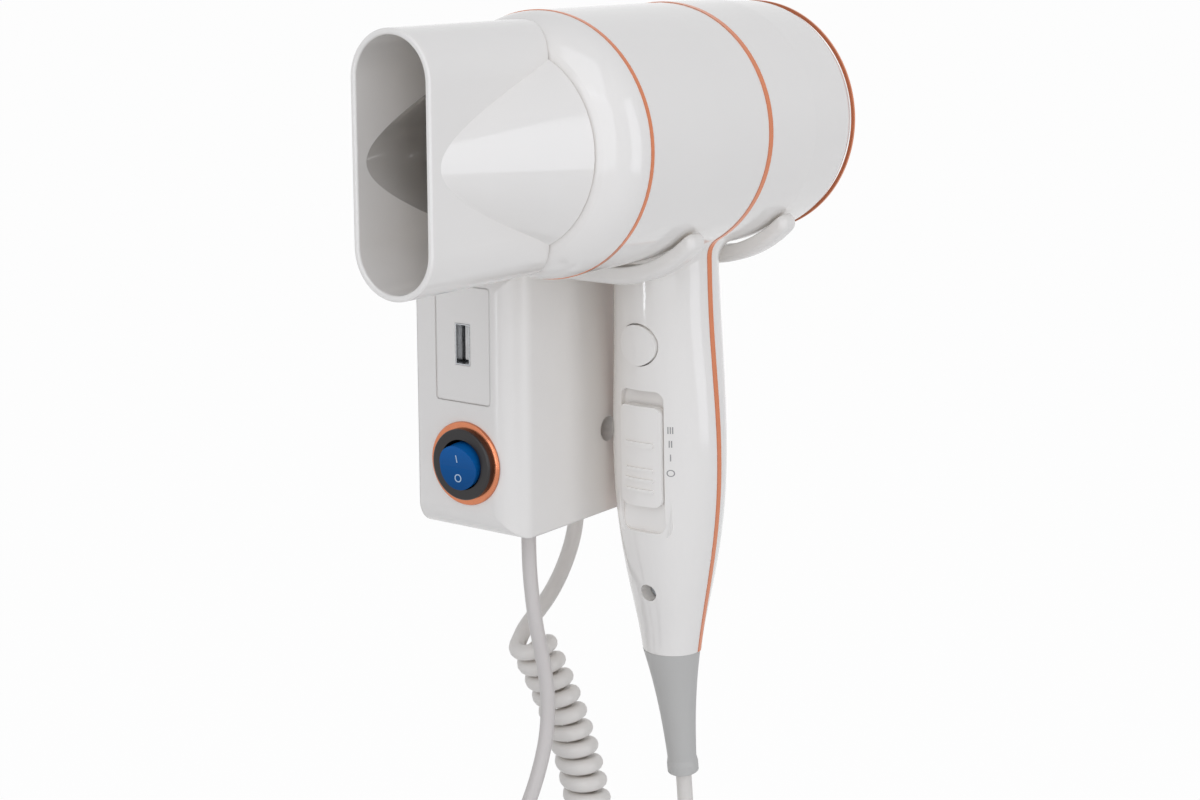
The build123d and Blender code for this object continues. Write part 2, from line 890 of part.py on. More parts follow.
rim_x = intake_x + filter_thick
dome_span = (intake_radius**2 + intake_dome**2) / (2 * intake_dome)
dome_middle = (rear_end_x + intake_dome - dome_span, 0)
rim_inner = intake_radius - intake_wall
with BuildPart() as rear_grille:
    with BuildSketch(barrel_plane):
        with BuildLine():
            outside = CenterArc(dome_middle, dome_span, 0, degrees(asin(intake_radius / dome_span)))
            inner_span = dome_span - intake_wall
            inside = CenterArc(dome_middle, inner_span, 0, degrees(asin(rim_inner / inner_span)))
            Polyline(outside @ 1, (rim_x, intake_radius), (rim_x, rim_inner), inside @ 1)
            Line(inside @ 0, outside @ 0)
        make_face()
    revolve(axis=barrel_axis)
    with BuildSketch(across_barrel(rear_end_x + 2 * intake_dome)):
        for row_radius, row_count in intake_rows:
            sweep_angle = 360 / row_count - degrees((intake_rib + intake_slot) / row_radius)
            for slot in range(row_count):
                with BuildLine(mode=Mode.PRIVATE) as slot_line:
                    CenterArc((0, 0), row_radius, 360 * slot / row_count, sweep_angle)
                SlotArc(slot_line.edges()[0], intake_slot)
    extrude(amount=3 * intake_dome, both=True, mode=Mode.SUBTRACT)
save(rear_grille.part, "rear_grille")

# Board in the handle with the two switches and the ion module
with BuildPart() as handle_board:
    with Locations((board_x + board_thick / 2, barrel_y, (board_low + board_high) / 2)):
        Box(board_thick, board_width, board_high - board_low)
save(handle_board.part, "handle_board")

with BuildPart() as speed_switch:
    with Locations(((switch_x + board_x) / 2, barrel_y, knob_z)):
        Box(board_x - switch_x, switch_width, switch_height)
    with BuildSketch(side_plane(switch_x + stem_depth / 2, barrel_y, knob_z + (knob_up - knob_down) / 2)):
        Rectangle(stem_width + 2 * stem_gap, stem_length + knob_up + knob_down + 2 * stem_gap)
    extrude(amount=stem_depth, mode=Mode.SUBTRACT)
save(speed_switch.part, "speed_switch")

plunger_end_x = button_flange_x + button_flange_thick + button_travel
with BuildPart() as cool_switch:
    width, height = cool_switch_size
    cool_switch_x = plunger_end_x + button_travel + knob_gap
    with Locations(((cool_switch_x + board_x) / 2, barrel_y, button_z)):
        Box(board_x - cool_switch_x, width, height)
save(cool_switch.part, "cool_switch")

with BuildPart() as ion_module:
    depth, width, height = ion_size
    with Locations((board_x + board_thick + depth / 2, barrel_y, ion_z)):
        Box(depth, width, height)
    fillet(ion_module.edges().filter_by(Axis.X), radius=ion_round)
save(ion_module.part, "ion_module")

# Speed knob: follows the handle's face, with a bar and three grip lines, and a stem into the switch
knob_back_x = channel_floor_x - knob_gap
with BuildPart() as speed_knob:
    with BuildSketch(side_plane(knob_back_x, barrel_y, knob_z)):
        RectangleRounded(knob_width, knob_length, knob_round)
    extrude(amount=reach)
    add(proud_form, mode=Mode.INTERSECT)
    with BuildPart(mode=Mode.PRIVATE) as grips:
        for grip_z, grip_height in grip_bars:
            with BuildSketch(side_plane(knob_back_x, barrel_y, knob_z + grip_z)):
                RectangleRounded(grip_width, grip_height, grip_height * grip_round_share)
            extrude(amount=reach)
        add(grip_form, mode=Mode.INTERSECT)
    add(grips.part)
    with BuildSketch(side_plane(switch_x + stem_depth / 2 - knob_gap, barrel_y, knob_z)):
        Rectangle(stem_width, stem_length)
    extrude(amount=switch_x + stem_depth / 2 - knob_gap - knob_back_x)
save(speed_knob.part, "speed_knob")

# Cool-shot button with its flange behind the shell and its plunger
with BuildPart() as cool_button:
    add(round_bar(side_plane(button_flange_x, barrel_y, button_z), button_diameter / 2, reach))
    add(proud_form, mode=Mode.INTERSECT)
    flange_back_x = button_flange_x + button_flange_thick
    add(round_bar(side_plane(flange_back_x, barrel_y, button_z), button_flange / 2, button_flange_thick))
    add(round_bar(side_plane(plunger_end_x, barrel_y, button_z), plunger_radius, button_travel))
save(cool_button.part, "cool_button")

# Screw that holds the two halves of the handle
with BuildPart() as handle_screw:
    add(
        round_bar(
            side_plane(handle_screw_seat_x, barrel_y, handle_screw_z),
            handle_screw_head / 2,
            handle_screw_head_thick,
        )
    )
    shank_end_x = screw_joint_x + handle_screw_grip - screw_end_gap
    add(round_bar(side_plane(shank_end_x, barrel_y, handle_screw_z), screw_core, shank_end_x))
save(handle_screw.part, "handle_screw")

# Cord boot: a leaning taper under the handle, with a neck and flange held between the halves
lean = radians(boot_lean)
boot_dir = Vector(sin(lean), 0, -cos(lean))
boot_origin = Vector(handle_foot_x, barrel_y, handle_foot)
boot_end = boot_origin + boot_dir * boot_length
with BuildPart() as cord_boot:
    with BuildSketch(Plane(origin=boot_origin, x_dir=boot_dir, z_dir=(0, -1, 0))):
        with BuildLine():
            taper = Spline(*boot_outline)
            bead_start = boot_length - boot_bead_length
            Polyline(
                taper @ 1,
                (bead_start, boot_bead),
                (boot_length, boot_bead),
                (boot_length, 0),
                (boot_outline[0][0], 0),
                taper @ 0,
            )
        make_face()
    revolve(axis=Axis(boot_origin, boot_dir))
    with BuildSketch(Plane.XY.offset(handle_foot)):
        with Locations((handle_foot_x, barrel_y)):
            Circle(reach)
    extrude(amount=reach, mode=Mode.SUBTRACT)
    foot_plane = Plane(origin=boot_origin)
    add(round_bar(foot_plane, boot_neck, handle_floor))
    add(round_bar(foot_plane.offset(handle_floor), boot_flange, boot_flange_thick))
save(cord_boot.part, "cord_boot")

# Holder box, open at the back
screw_tube_radius = base_screw_bore / 2 + base_wall
screw_seat_y = base_front_y + base_screw_depth
post_face_y = screw_seat_y + seat_thick
usb_face_x = base_side_x + usb_inset
usb_back_x = usb_face_x + usb_depth
lead_exit = Vector(*lead_points[0], base_bottom)
curly_exit = Vector(*curly_lead_in[0], base_bottom)
with BuildPart() as base_housing:
    add(box_form(0, 0, base_front_y - over))
    add(box_form(base_wall, over, base_front_y - over), mode=Mode.SUBTRACT)
    # Screw tube in the front face
    screw_tube_length = base_screw_depth + seat_thick - over
    add(round_bar(room_plane(0, post_face_y, base_screw_z), screw_tube_radius, screw_tube_length))
    add(round_bar(room_plane(0, screw_seat_y, base_screw_z), base_screw_bore / 2, reach), mode=Mode.SUBTRACT)
    add(round_bar(room_plane(0, 0, base_screw_z), screw_core + screw_clear, reach), mode=Mode.SUBTRACT)
    # Recess of the USB panel, the socket's window and the posts of its board
    with BuildSketch(side_plane(usb_face_x + usb_panel_thick, usb_y, usb_z)):
        RectangleRounded(
            usb_panel_width + 2 * usb_panel_fit,
            usb_panel_height + 2 * usb_panel_fit,
            usb_panel_round + usb_panel_fit,
        )
    extrude(amount=reach, mode=Mode.SUBTRACT)
    with BuildSketch(side_plane(base_side_x + 2 * base_wall, usb_y, usb_z)):
        Rectangle(usb_shell_width + 4 * usb_shell_fit, usb_shell_height + 4 * usb_shell_fit)
    extrude(amount=reach, mode=Mode.SUBTRACT)
    usb_post_length = usb_depth - usb_panel_thick - base_wall / 4
    for end in (-1, 1):
        post_z = usb_z + end * (usb_panel_height / 2 - usb_post_radius)
        add(round_bar(side_plane(usb_back_x, usb_y, post_z), usb_post_radius, usb_post_length))
    # Switch hole, holes for the two glands and for the fork's screws
    add(round_bar(side_plane(0, rocker_y, rocker_z), switch_body / 2 + switch_fit, reach), mode=Mode.SUBTRACT)
    for point in (lead_exit, curly_exit):
        gland_plane = Plane(origin=point - Vector(0, 0, over))
        add(round_bar(gland_plane, gland_radius + gland_fit, base_wall + 2 * over), mode=Mode.SUBTRACT)
    for side in (-1, 1):
        hole_plane = Plane(origin=(side * fork_screw_x, fork_screw_y, 0))
        add(round_bar(hole_plane, screw_core + screw_clear, reach), mode=Mode.SUBTRACT)
save(base_housing.part, "base_housing")

# Wall plate with the post for the box's screw and the posts of the power board
board_width_x, board_thick_y, board_height_z = power_board
with BuildPart() as wall_plate:
    add(box_form(base_wall + plate_gap, 0, -plate_thick))
    add(round_bar(room_plane(0, 0, base_screw_z), screw_tube_radius - plate_post_step, -post_face_y))
    add(
        round_bar(room_plane(0, -plate_thick, base_screw_z), screw_core + screw_fit, reach),
        mode=Mode.SUBTRACT,
    )
    with BuildSketch(room_plane(power_board_x, 0, 0)):
        with GridLocations(board_width_x - 2 * power_post_inset, board_height_z - 2 * power_post_inset, 2, 2):
            Circle(power_post_radius)
    extrude(amount=-power_board_y)
    with BuildSketch(room_plane(0, 0, 0)):
        with GridLocations(1, wall_screw_spacing, 1, 2):
            Circle(wall_screw_hole / 2)
    extrude(amount=plate_thick, mode=Mode.SUBTRACT)
save(wall_plate.part, "wall_plate")

with BuildPart() as base_screw:
    add(round_bar(room_plane(0, screw_seat_y, base_screw_z), base_screw_head / 2, base_screw_head_thick))
    shank_y = screw_seat_y + base_screw_length
    add(round_bar(room_plane(0, shank_y, base_screw_z), screw_core, base_screw_length))
save(base_screw.part, "base_screw")

# Power board with its transformer and terminal block
power_face_y = power_board_y - board_thick_y
with BuildPart() as power_board_plate:
    with Locations((power_board_x, power_board_y - board_thick_y / 2, 0)):
        Box(*power_board)
save(power_board_plate.part, "power_board")

for size, z, name in (
    (transformer_size, transformer_z, "transformer"),
    (terminal_block_size, terminal_block_z, "terminal_block"),
):
    with BuildPart() as block:
        with Locations((power_board_x, power_face_y - size[1] / 2, z)):
            Box(*size)
        chamfer(block.edges().filter_by(Axis.Z), length=block_edge)
    save(block.part, name)


def below_barrel(distance, angle):
    """Side-plane point at a distance from the barrel's axis, turned from straight down to the room."""
    return (distance * sin(radians(angle)) - barrel_y, barrel_z - distance * cos(radians(angle)))


def is_arm_rim(edge):
    """True for the edges that run along the two sides of an arm, below its tip."""
    middle = edge.center()
    flat = edge.bounding_box().size.X < 0.01
    return flat and middle.Y < base_front_y - fork_gap and middle.Z < tip_over[1]


# Fork: a saddle on the box and two arms that run out under the barrel and curl up
arm_under_z = barrel_z - barrel_radius - arm_drop
tip_under = below_barrel(barrel_radius + tip_out, tip_angle)
tip_over = below_barrel(barrel_radius - tip_in, tip_angle)
saddle_top_z = base_top + saddle_height
with BuildPart() as saddle:
    saddle_depth = saddle_back_y - base_front_y
    with Locations((0, base_front_y + saddle_depth / 2, base_top + saddle_height / 2)):
        Box(2 * saddle_half, saddle_depth, saddle_height)
    fillet(saddle.edges().filter_by(Axis.Z), radius=saddle_round)
    fillet(saddle.faces().sort_by(Axis.Z)[-1].edges(), radius=saddle_edge)
with BuildPart() as cradle:
    for side in (-1, 1):
        with BuildSketch(side_plane(side * arm_x - arm_width / 2)):
            with BuildLine():
                under = Line((-base_front_y, arm_under_z), (-barrel_y, arm_under_z))
                bend = TangentArc(under @ 1, tip_under, tangent=under % 1)
                cap = TangentArc(bend @ 1, tip_over, tangent=bend % 1)
                Polyline(cap @ 1, (-barrel_y, barrel_z), (-base_front_y, saddle_top_z), under @ 0)
            make_face()
        extrude(amount=-arm_width)
    fillet(cradle.edges().filter_by(is_arm_rim), radius=arm_edge)
    add(saddle.part)
    add(round_bar(across_barrel(reach), barrel_radius + fork_gap, 2 * reach), mode=Mode.SUBTRACT)
    for side in (-1, 1):
        hole_plane = Plane(origin=(side * fork_screw_x, fork_screw_y, base_top))
        add(round_bar(hole_plane, screw_core + screw_fit, fork_screw_length - base_wall), mode=Mode.SUBTRACT)
save(cradle.part, "cradle")

with BuildPart() as fork_screws:
    for side in (-1, 1):
        head_plane = Plane(origin=(side * fork_screw_x, fork_screw_y, base_top - base_wall))
        add(round_bar(head_plane, fork_screw_head / 2, -base_wall))
        add(round_bar(head_plane, screw_core, fork_screw_length - screw_end_gap))
save(fork_screws.part, "fork_screws")

# USB panel, socket shell, tongue and board
with BuildPart() as usb_panel:
    with BuildSketch(side_plane(usb_face_x + usb_panel_thick, usb_y, usb_z)):
        RectangleRounded(usb_panel_width, usb_panel_height, usb_panel_round)
        Rectangle(
            usb_shell_width + 2 * usb_shell_fit,
            usb_shell_height + 2 * usb_shell_fit,
            mode=Mode.SUBTRACT,
        )
    extrude(amount=usb_panel_thick)
save(usb_panel.part, "usb_panel")

with BuildPart() as usb_shell:
    with BuildSketch(side_plane(usb_back_x, usb_y, usb_z)):
        Rectangle(usb_shell_width, usb_shell_height)
    extrude(amount=usb_depth)
    with BuildSketch(side_plane(usb_back_x - usb_shell_wall, usb_y, usb_z)):
        Rectangle(usb_shell_width - 2 * usb_shell_wall, usb_shell_height - 2 * usb_shell_wall)
    extrude(amount=usb_depth, mode=Mode.SUBTRACT)
save(usb_shell.part, "usb_shell")

with BuildPart() as usb_tongue_block:
    length, width, height = usb_tongue
    with Locations((usb_back_x - usb_shell_wall - length / 2, usb_y + usb_tongue_shift, usb_z)):
        Box(length, width, height)
save(usb_tongue_block.part, "usb_tongue")

with BuildPart() as usb_board:
    with Locations((usb_back_x + usb_board_thick / 2, usb_y, usb_z)):
        Box(usb_board_thick, usb_board_width, usb_panel_height)
save(usb_board.part, "usb_board")

# Rocker switch: copper trim on the box, the switch body with its bezel and terminals, and the rocker
trim_face_x = base_side_x - trim_thick
bezel_face_x = trim_face_x - bezel_thick
pivot_x = bezel_face_x + rocker_pivot_depth
with BuildPart() as rocker_trim_ring:
    with BuildSketch(side_plane(base_side_x, rocker_y, rocker_z)):
        Circle(rocker_trim / 2)
        Circle(switch_body / 2 + switch_fit, mode=Mode.SUBTRACT)
    extrude(amount=trim_thick)
    fillet(rocker_trim_ring.faces().sort_by(Axis.X)[0].outer_wire().edges(), radius=trim_edge)
save(rocker_trim_ring.part, "rocker_trim_ring")

with BuildPart() as rocker_bezel:
    add(round_bar(side_plane(trim_face_x, rocker_y, rocker_z), switch_bezel / 2, bezel_thick))
    fillet(rocker_bezel.faces().sort_by(Axis.X)[0].edges(), radius=bezel_edge)
    add(round_bar(side_plane(trim_face_x + switch_depth, rocker_y, rocker_z), switch_body / 2, switch_depth))
    add(
        round_bar(
            side_plane(bezel_face_x + rocker_well_depth, rocker_y, rocker_z),
            rocker_diameter / 2 + rocker_well_gap,
            reach,
        ),
        mode=Mode.SUBTRACT,
    )
    pivot_hole = Plane(origin=(pivot_x, rocker_y + reach / 2, rocker_z), z_dir=(0, -1, 0))
    add(round_bar(pivot_hole, pivot_radius + pivot_fit, reach), mode=Mode.SUBTRACT)
save(rocker_bezel.part, "rocker_bezel")

with BuildPart() as switch_terminals:
    width, thick, length = terminal_size
    with BuildSketch(side_plane(trim_face_x + switch_depth, rocker_y, rocker_z)):
        with GridLocations(1, terminal_spacing, 1, 2):
            Rectangle(width, thick)
    extrude(amount=-length)
save(switch_terminals.part, "switch_terminals")

tilt = radians(rocker_tilt)
rocker_normal = Vector(-cos(tilt), 0, -sin(tilt))
rocker_origin = Vector(pivot_x, rocker_y, rocker_z)
with BuildPart() as rocker:
    half = rocker_diameter / 2
    end_rise = rocker_crest + half * tan(tilt)
    with BuildSketch(Plane(origin=rocker_origin, x_dir=rocker_normal, z_dir=(0, -1, 0))):
        with BuildLine():
            Polyline(
                (-rocker_skirt, -half),
                (end_rise, -half),
                (rocker_crest, 0),
                (end_rise, half),
                (-rocker_skirt, half),
                close=True,
            )
        make_face()
    extrude(amount=half, both=True)
    rocker_plane = Plane(origin=rocker_origin - rocker_normal * half, x_dir=(0, -1, 0), z_dir=rocker_normal)
    add(round_bar(rocker_plane, half, rocker_diameter), mode=Mode.INTERSECT)
    pin_plane = Plane(origin=rocker_origin + Vector(0, pivot_reach, 0), z_dir=(0, -1, 0))
    add(round_bar(pin_plane, pivot_radius, 2 * pivot_reach))
save(rocker.part, "rocker")

# Glands in the box's floor
for point, name in ((lead_exit, "lead_gland"), (curly_exit, "curly_gland")):
    with BuildPart() as gland:
        flange_plane = Plane(origin=point - Vector(0, 0, gland_flange_thick))
        add(round_bar(flange_plane, gland_flange, gland_flange_thick))
        add(round_bar(flange_plane, gland_radius, gland_length))
    save(gland.part, name)

# Mains lead: hangs from its gland and goes into the coil
coil_origin = Vector(*coil_middle)
coil_outer = coil_radius + coil_step * coil_turns / 2


def coil_place(turn):
    """Point on the put-away lead: in by a steady spiral on one layer and out again on the next."""
    climb = min(max((turn - coil_turns) / coil_climb + 0.5, 0), 1)
    inward = coil_step * (turn if turn < coil_turns else 2 * coil_turns - turn)
    angle = -2 * pi * turn
    radius = coil_outer - inward
    return coil_origin + Vector(radius * cos(angle), climb * coil_step, radius * sin(angle))


coil_loops = 2 * coil_turns
coil_in_dir = heading(coil_place, 0)
coil_out_dir = heading(coil_place, coil_loops)
coil_start = coil_place(0) - coil_in_dir * lead_diameter
coil_end = coil_place(coil_loops) + coil_out_dir * coil_tail
lead_start = lead_exit - Vector(0, 0, gland_flange_thick)
lead_turn_in = coil_start - coil_in_dir * lead_last_run
with BuildPart() as mains_lead:
    with BuildLine() as lead_line:
        route([lead_start] + [Vector(*point) for point in lead_points[1:]] + [lead_turn_in, coil_start])
    with BuildSketch(Plane(origin=lead_start, z_dir=(0, 0, -1))):
        Circle(lead_diameter / 2)
    sweep()
save(mains_lead.part, "mains_lead")
report_tube("mains lead", mains_lead.part, lead_line, lead_diameter)

with BuildPart() as mains_coil:
    with BuildLine() as coil_line:
        Line(coil_start, coil_place(0))
        wound_arcs(coil_place, coil_loops)
        Line(coil_place(coil_loops), coil_end)
    with BuildSketch(Plane(origin=coil_start, z_dir=coil_in_dir)):
        Circle(lead_diameter / 2)
    sweep()
save(mains_coil.part, "mains_coil")
report_tube("mains coil", mains_coil.part, coil_line, lead_diameter)
print("mains coil gap", round(self_gap(coil_place, coil_loops, lead_diameter), 2))

# Tie round the top of the coil
with BuildPart() as lead_tie:
    bundle_height = coil_step * coil_turns + lead_diameter + 2 * tie_gap
    bundle_width = coil_step + lead_diameter + 2 * tie_gap
    tie_middle = coil_origin + Vector(tie_width / 2, coil_step / 2, coil_radius)
    with BuildSketch(side_plane(*tie_middle)):
        RectangleRounded(bundle_width + 2 * tie_thick, bundle_height + 2 * tie_thick, tie_thick + tie_round)
        RectangleRounded(bundle_width, bundle_height, tie_round, mode=Mode.SUBTRACT)
    extrude(amount=tie_width)
save(lead_tie.part, "lead_tie")

# Plug and its pins, hanging from the end of the coil
plug_plane = Plane(origin=coil_end, x_dir=(-coil_out_dir.Z, 0, coil_out_dir.X), z_dir=(0, -1, 0))
with BuildPart() as plug:
    with BuildSketch(plug_plane):
        with BuildLine():
            Polyline((0, plug_profile[0][1]), *plug_profile, (0, plug_profile[-1][1]))
            mirror(about=Plane.YZ)
        make_face()
        fillet(vertices().sort_by(Axis.Y)[:2], radius=plug_round)
    extrude(amount=plug_thick / 2, both=True)
    chamfer(plug.faces().filter_by(Axis.Y).edges(), length=plug_edge)
save(plug.part, "plug")

with BuildPart() as plug_pins:
    plug_face = coil_end + plug_plane.y_dir * plug_profile[-1][1]
    pin_plane = Plane(origin=plug_face, x_dir=plug_plane.x_dir, z_dir=-plug_plane.y_dir)
    with BuildSketch(pin_plane):
        with GridLocations(pin_spacing, 1, 2, 1):
            Circle(pin_radius)
    extrude(amount=pin_length)
    fillet(plug_pins.faces().sort_by(Axis.Z)[:2].edges(), radius=pin_round)
save(plug_pins.part, "plug_pins")

# Curly cord: the lead-in from its gland, the curls along a gently bent axis, and the tail up to the boot
curl_side = Vector(1, 1, 0).normalized()
curl_out = Vector(1, -1, 0).normalized()


def curl_place(turn):
    """Point on the curls after a number of turns, wound left-handed round an axis bent to an arc."""
    start_tilt = radians(curl_tilt)
    tilt_here = start_tilt - curl_pitch * turn / curl_bend_radius
    along = curl_bend_radius * (cos(tilt_here) - cos(start_tilt))
    down = curl_bend_radius * (sin(start_tilt) - sin(tilt_here))
    axis_point = Vector(*curl_start) + curl_out * along - Vector(0, 0, down)
    across = curl_out * cos(tilt_here) + Vector(0, 0, sin(tilt_here))
    angle = 2 * pi * (turn + curl_start_turn)
    return axis_point + (across * cos(angle) + curl_side * sin(angle)) * curl_radius


curly_start = curly_exit - Vector(0, 0, gland_flange_thick)
curls_start = curl_place(0)
curls_end = curl_place(curl_count)
curls_in = curls_start - heading(curl_place, 0) * curly_last_run
curls_out = curls_end + heading(curl_place, curl_count) * curly_last_run
boot_in = boot_end + boot_dir * curly_last_run
with BuildPart() as curly_cord:
    with BuildLine() as curly_line:
        route([curly_start] + [Vector(*point) for point in curly_lead_in[1:]] + [curls_in, curls_start])
        wound_arcs(curl_place, curl_count)
        route([curls_end, curls_out] + [Vector(*point) for point in curly_tail] + [boot_in, boot_end])
    with BuildSketch(Plane(origin=curly_start, z_dir=(0, 0, -1))):
        Circle(curly_diameter / 2)
    sweep()
save(curly_cord.part, "curly_cord")
report_tube("curly cord", curly_cord.part, curly_line, curly_diameter)
print("curls gap", round(self_gap(curl_place, curl_count, curly_diameter), 2))
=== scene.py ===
"""Wall-mounted hair dryer in its holder: cords, marks, contacts, finishes, light and camera."""

import math

import bpy
from bpy.props import FloatProperty, FloatVectorProperty, IntProperty, PointerProperty, StringProperty
from mathutils import Matrix, Vector
from mathutils.bvhtree import BVHTree


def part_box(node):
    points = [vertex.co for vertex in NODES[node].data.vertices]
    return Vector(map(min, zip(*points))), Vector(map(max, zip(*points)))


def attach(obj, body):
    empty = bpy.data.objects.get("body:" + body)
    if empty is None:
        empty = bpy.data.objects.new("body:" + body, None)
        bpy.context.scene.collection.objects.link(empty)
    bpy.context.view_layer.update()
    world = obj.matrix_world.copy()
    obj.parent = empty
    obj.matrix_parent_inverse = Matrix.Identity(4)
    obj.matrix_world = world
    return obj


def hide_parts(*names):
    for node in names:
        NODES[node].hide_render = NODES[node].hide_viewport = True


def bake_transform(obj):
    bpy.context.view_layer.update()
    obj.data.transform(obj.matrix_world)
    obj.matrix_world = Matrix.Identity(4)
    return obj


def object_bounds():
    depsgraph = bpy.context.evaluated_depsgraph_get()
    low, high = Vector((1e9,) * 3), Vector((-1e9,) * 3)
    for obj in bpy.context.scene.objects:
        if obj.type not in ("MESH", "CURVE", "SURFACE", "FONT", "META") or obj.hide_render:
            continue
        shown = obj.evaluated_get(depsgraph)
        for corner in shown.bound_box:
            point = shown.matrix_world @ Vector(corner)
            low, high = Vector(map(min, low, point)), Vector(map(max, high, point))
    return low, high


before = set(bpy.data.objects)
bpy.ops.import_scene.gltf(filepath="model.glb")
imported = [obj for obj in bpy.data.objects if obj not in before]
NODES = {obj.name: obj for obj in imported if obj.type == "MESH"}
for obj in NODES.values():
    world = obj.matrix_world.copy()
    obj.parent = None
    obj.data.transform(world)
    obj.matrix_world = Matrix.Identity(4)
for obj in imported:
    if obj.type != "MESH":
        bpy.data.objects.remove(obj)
CAD_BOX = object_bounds()
MM = 0.001

bl_info = {
    "name": "Wall Hair Dryer",
    "version": (1, 0, 0),
    "blender": (4, 5, 0),
    "location": "View3D > Sidebar > Hair Dryer",
    "description": "Dresses the packed hair dryer with cords, marks, contacts and moulded finishes",
    "category": "Add Mesh",
}

# Listed routes, in millimetres, the same points as the construction's tubes
LEAD_ROUTE = [
    (-28.5, -28, -44),
    (-28.5, -28, -54),
    (-30, -30, -64),
    (-30.3, -32, -76),
    (-29, -34, -88),
    (-29, -36, -100),
    (-31, -37, -112),
    (-35, -37, -123),
    (-41, -37, -133),
    (-49, -36.6, -143),
    (-57, -36.2, -154),
]
CURLY_LEAD_IN = [
    (17, -14, -44),
    (17, -14, -52),
    (15, -14, -60),
    (10.7, -14.1, -67.2),
    (5, -14.3, -73.5),
    (-2.2, -14.5, -79),
]
CURLY_TAIL = [
    (2, -50, -270),
    (13, -61.5, -265),
    (20, -69.5, -252),
    (22, -73, -236),
    (21, -72.5, -219),
    (18.5, -70, -202),
    (16.5, -66.5, -186),
    (15.6, -63, -171),
    (16, -61, -157),
]
BOOT_TILT = math.radians(9)
BOOT_END = (13.6, -61, -133.43)
BOOT_DIRECTION = (math.sin(BOOT_TILT), 0, -math.cos(BOOT_TILT))
COIL_MIDDLE = (-95, -36, -182)
COIL_RUN_IN = 14.8
CURL_START = (-19, -21, -86.5)
CURL_START_TILT = math.radians(27)
CURL_BEND = 205
CURL_PHASE = 0.375
LAMP_AIM = (0, -0.06, 0.03)
# Printed marks, in millimetres: stops by their height on the handle, signs about the rocker's middle
STOPS = (("III", -9.7), ("II", -14.2), ("I", -18.7), ("O", -23.8))
STOP_Y = -71.0
STOP_SIZE = 2.3
STOP_LIFT = 0.05
SIGNS = (("I", 2.2), ("O", -4.2))
SIGN_Y = -19.5
SIGN_MIDDLE_Z = -19.8
SIGN_SIZE = 2.6
SIGN_LIFT = 0.04
CAPITAL_SHARE = 0.7
# Socket contacts, in millimetres
CONTACT_SIZE = (8, 0.2, 1.1)
CONTACT_OFFSETS = (-3.5, -1.0, 1.0, 3.5)
CONTACT_INSET = 4.6
CONTACT_PROUD = 0.05
CONTACT_BEVEL = 0.06


class DryerFinish(bpy.types.PropertyGroup):
    """Colours of the finishes, as sRGB hex values."""

    shell: StringProperty(name="Shell", description="Glossy white plastic", default="EDE9E4")
    holder: StringProperty(name="Holder", description="White plastic of the wall box", default="EBE7E2")
    trim: StringProperty(name="Trim", description="Rose-gold plating", default="D08462")
    boot: StringProperty(name="Cord boot", description="Soft grey strain relief", default="BEBCB8")
    lead: StringProperty(name="Mains lead", description="Jacket of the mains lead", default="CEC8C4")
    curly: StringProperty(name="Curly cord", description="Jacket of the curly cord", default="DFDAD4")
    bezel: StringProperty(name="Bezel", description="Black switch body", default="191415")
    rocker: StringProperty(name="Rocker", description="Clear blue switch cap", default="0A5698")
    marks: StringProperty(name="Marks", description="Printed marks beside the slide", default="9A9896")


class DryerCords(bpy.types.PropertyGroup):
    """Sizes of the cords."""

    lead_diameter: FloatProperty(
        name="Lead diameter", description="Mains lead", default=4.8 * MM, unit="LENGTH"
    )
    coil_radius: FloatProperty(
        name="Coil radius", description="Middle of the put-away turns", default=26.4 * MM, unit="LENGTH"
    )
    coil_step: FloatProperty(
        name="Coil step", description="From one turn to the next", default=5.4 * MM, unit="LENGTH"
    )
    coil_turns: IntProperty(name="Coil turns", description="Turns in each of two layers", default=3)
    coil_tail: FloatProperty(
        name="Coil tail", description="Straight end from the coil to the plug", default=42 * MM, unit="LENGTH"
    )
    curly_diameter: FloatProperty(
        name="Curly diameter", description="Curly cord", default=5.4 * MM, unit="LENGTH"
    )
    curl_radius: FloatProperty(
        name="Curl radius", description="From a curl's axis to the cord's middle", default=5.4 * MM,
        unit="LENGTH",
    )
    curl_pitch: FloatProperty(
        name="Curl pitch", description="From one curl to the next", default=6.4 * MM, unit="LENGTH"
    )
    curl_count: FloatProperty(name="Curls", description="Number of curls", default=27.375)


class DryerStage(bpy.types.PropertyGroup):
    """Camera and light."""

    camera_place: FloatVectorProperty(
        name="Camera", description="Where the camera stands", default=(-0.5839, -0.4556, 0.1528),
        subtype="TRANSLATION",
    )
    camera_pitch: FloatProperty(
        name="Pitch", description="Camera's turn up from straight down", default=math.radians(77.54),
        subtype="ANGLE",
    )
    camera_heading: FloatProperty(
        name="Heading", description="Camera's turn about the upright", default=math.radians(-54.3),
        subtype="ANGLE",
    )
    camera_lens: FloatProperty(name="Lens", description="Focal length on a 36 mm sensor", default=67.22)
    floor_drop: FloatProperty(
        name="Floor drop", description="Floor below the lowest point", default=0.06, unit="LENGTH"
    )
    key_power: FloatProperty(name="Key", description="Soft light from above, in watts", default=4.8)
    front_power: FloatProperty(
        name="Front", description="Wide soft light from the camera's side, in watts", default=8.5
    )
    tall_power: FloatProperty(
        name="Tall softbox", description="Upright softbox in the room, in watts", default=6.4
    )
    strip_power: FloatProperty(
        name="Strip", description="Narrow upright light along the wall, in watts", default=2.6
    )
    world_level: FloatProperty(name="World", description="Even light from all round", default=0.5)
    light_tint: StringProperty(
        name="Light tint", description="Daylight tint of the lamps and the even light", default="F6F9FF"
    )


def tone(hex_value):
    """Linear RGBA colour of an sRGB hex value."""
    channels = [int(hex_value[i : i + 2], 16) / 255 for i in (0, 2, 4)]
    linear = [c / 12.92 if c <= 0.04045 else ((c + 0.055) / 1.055) ** 2.4 for c in channels]
    return (*linear, 1.0)


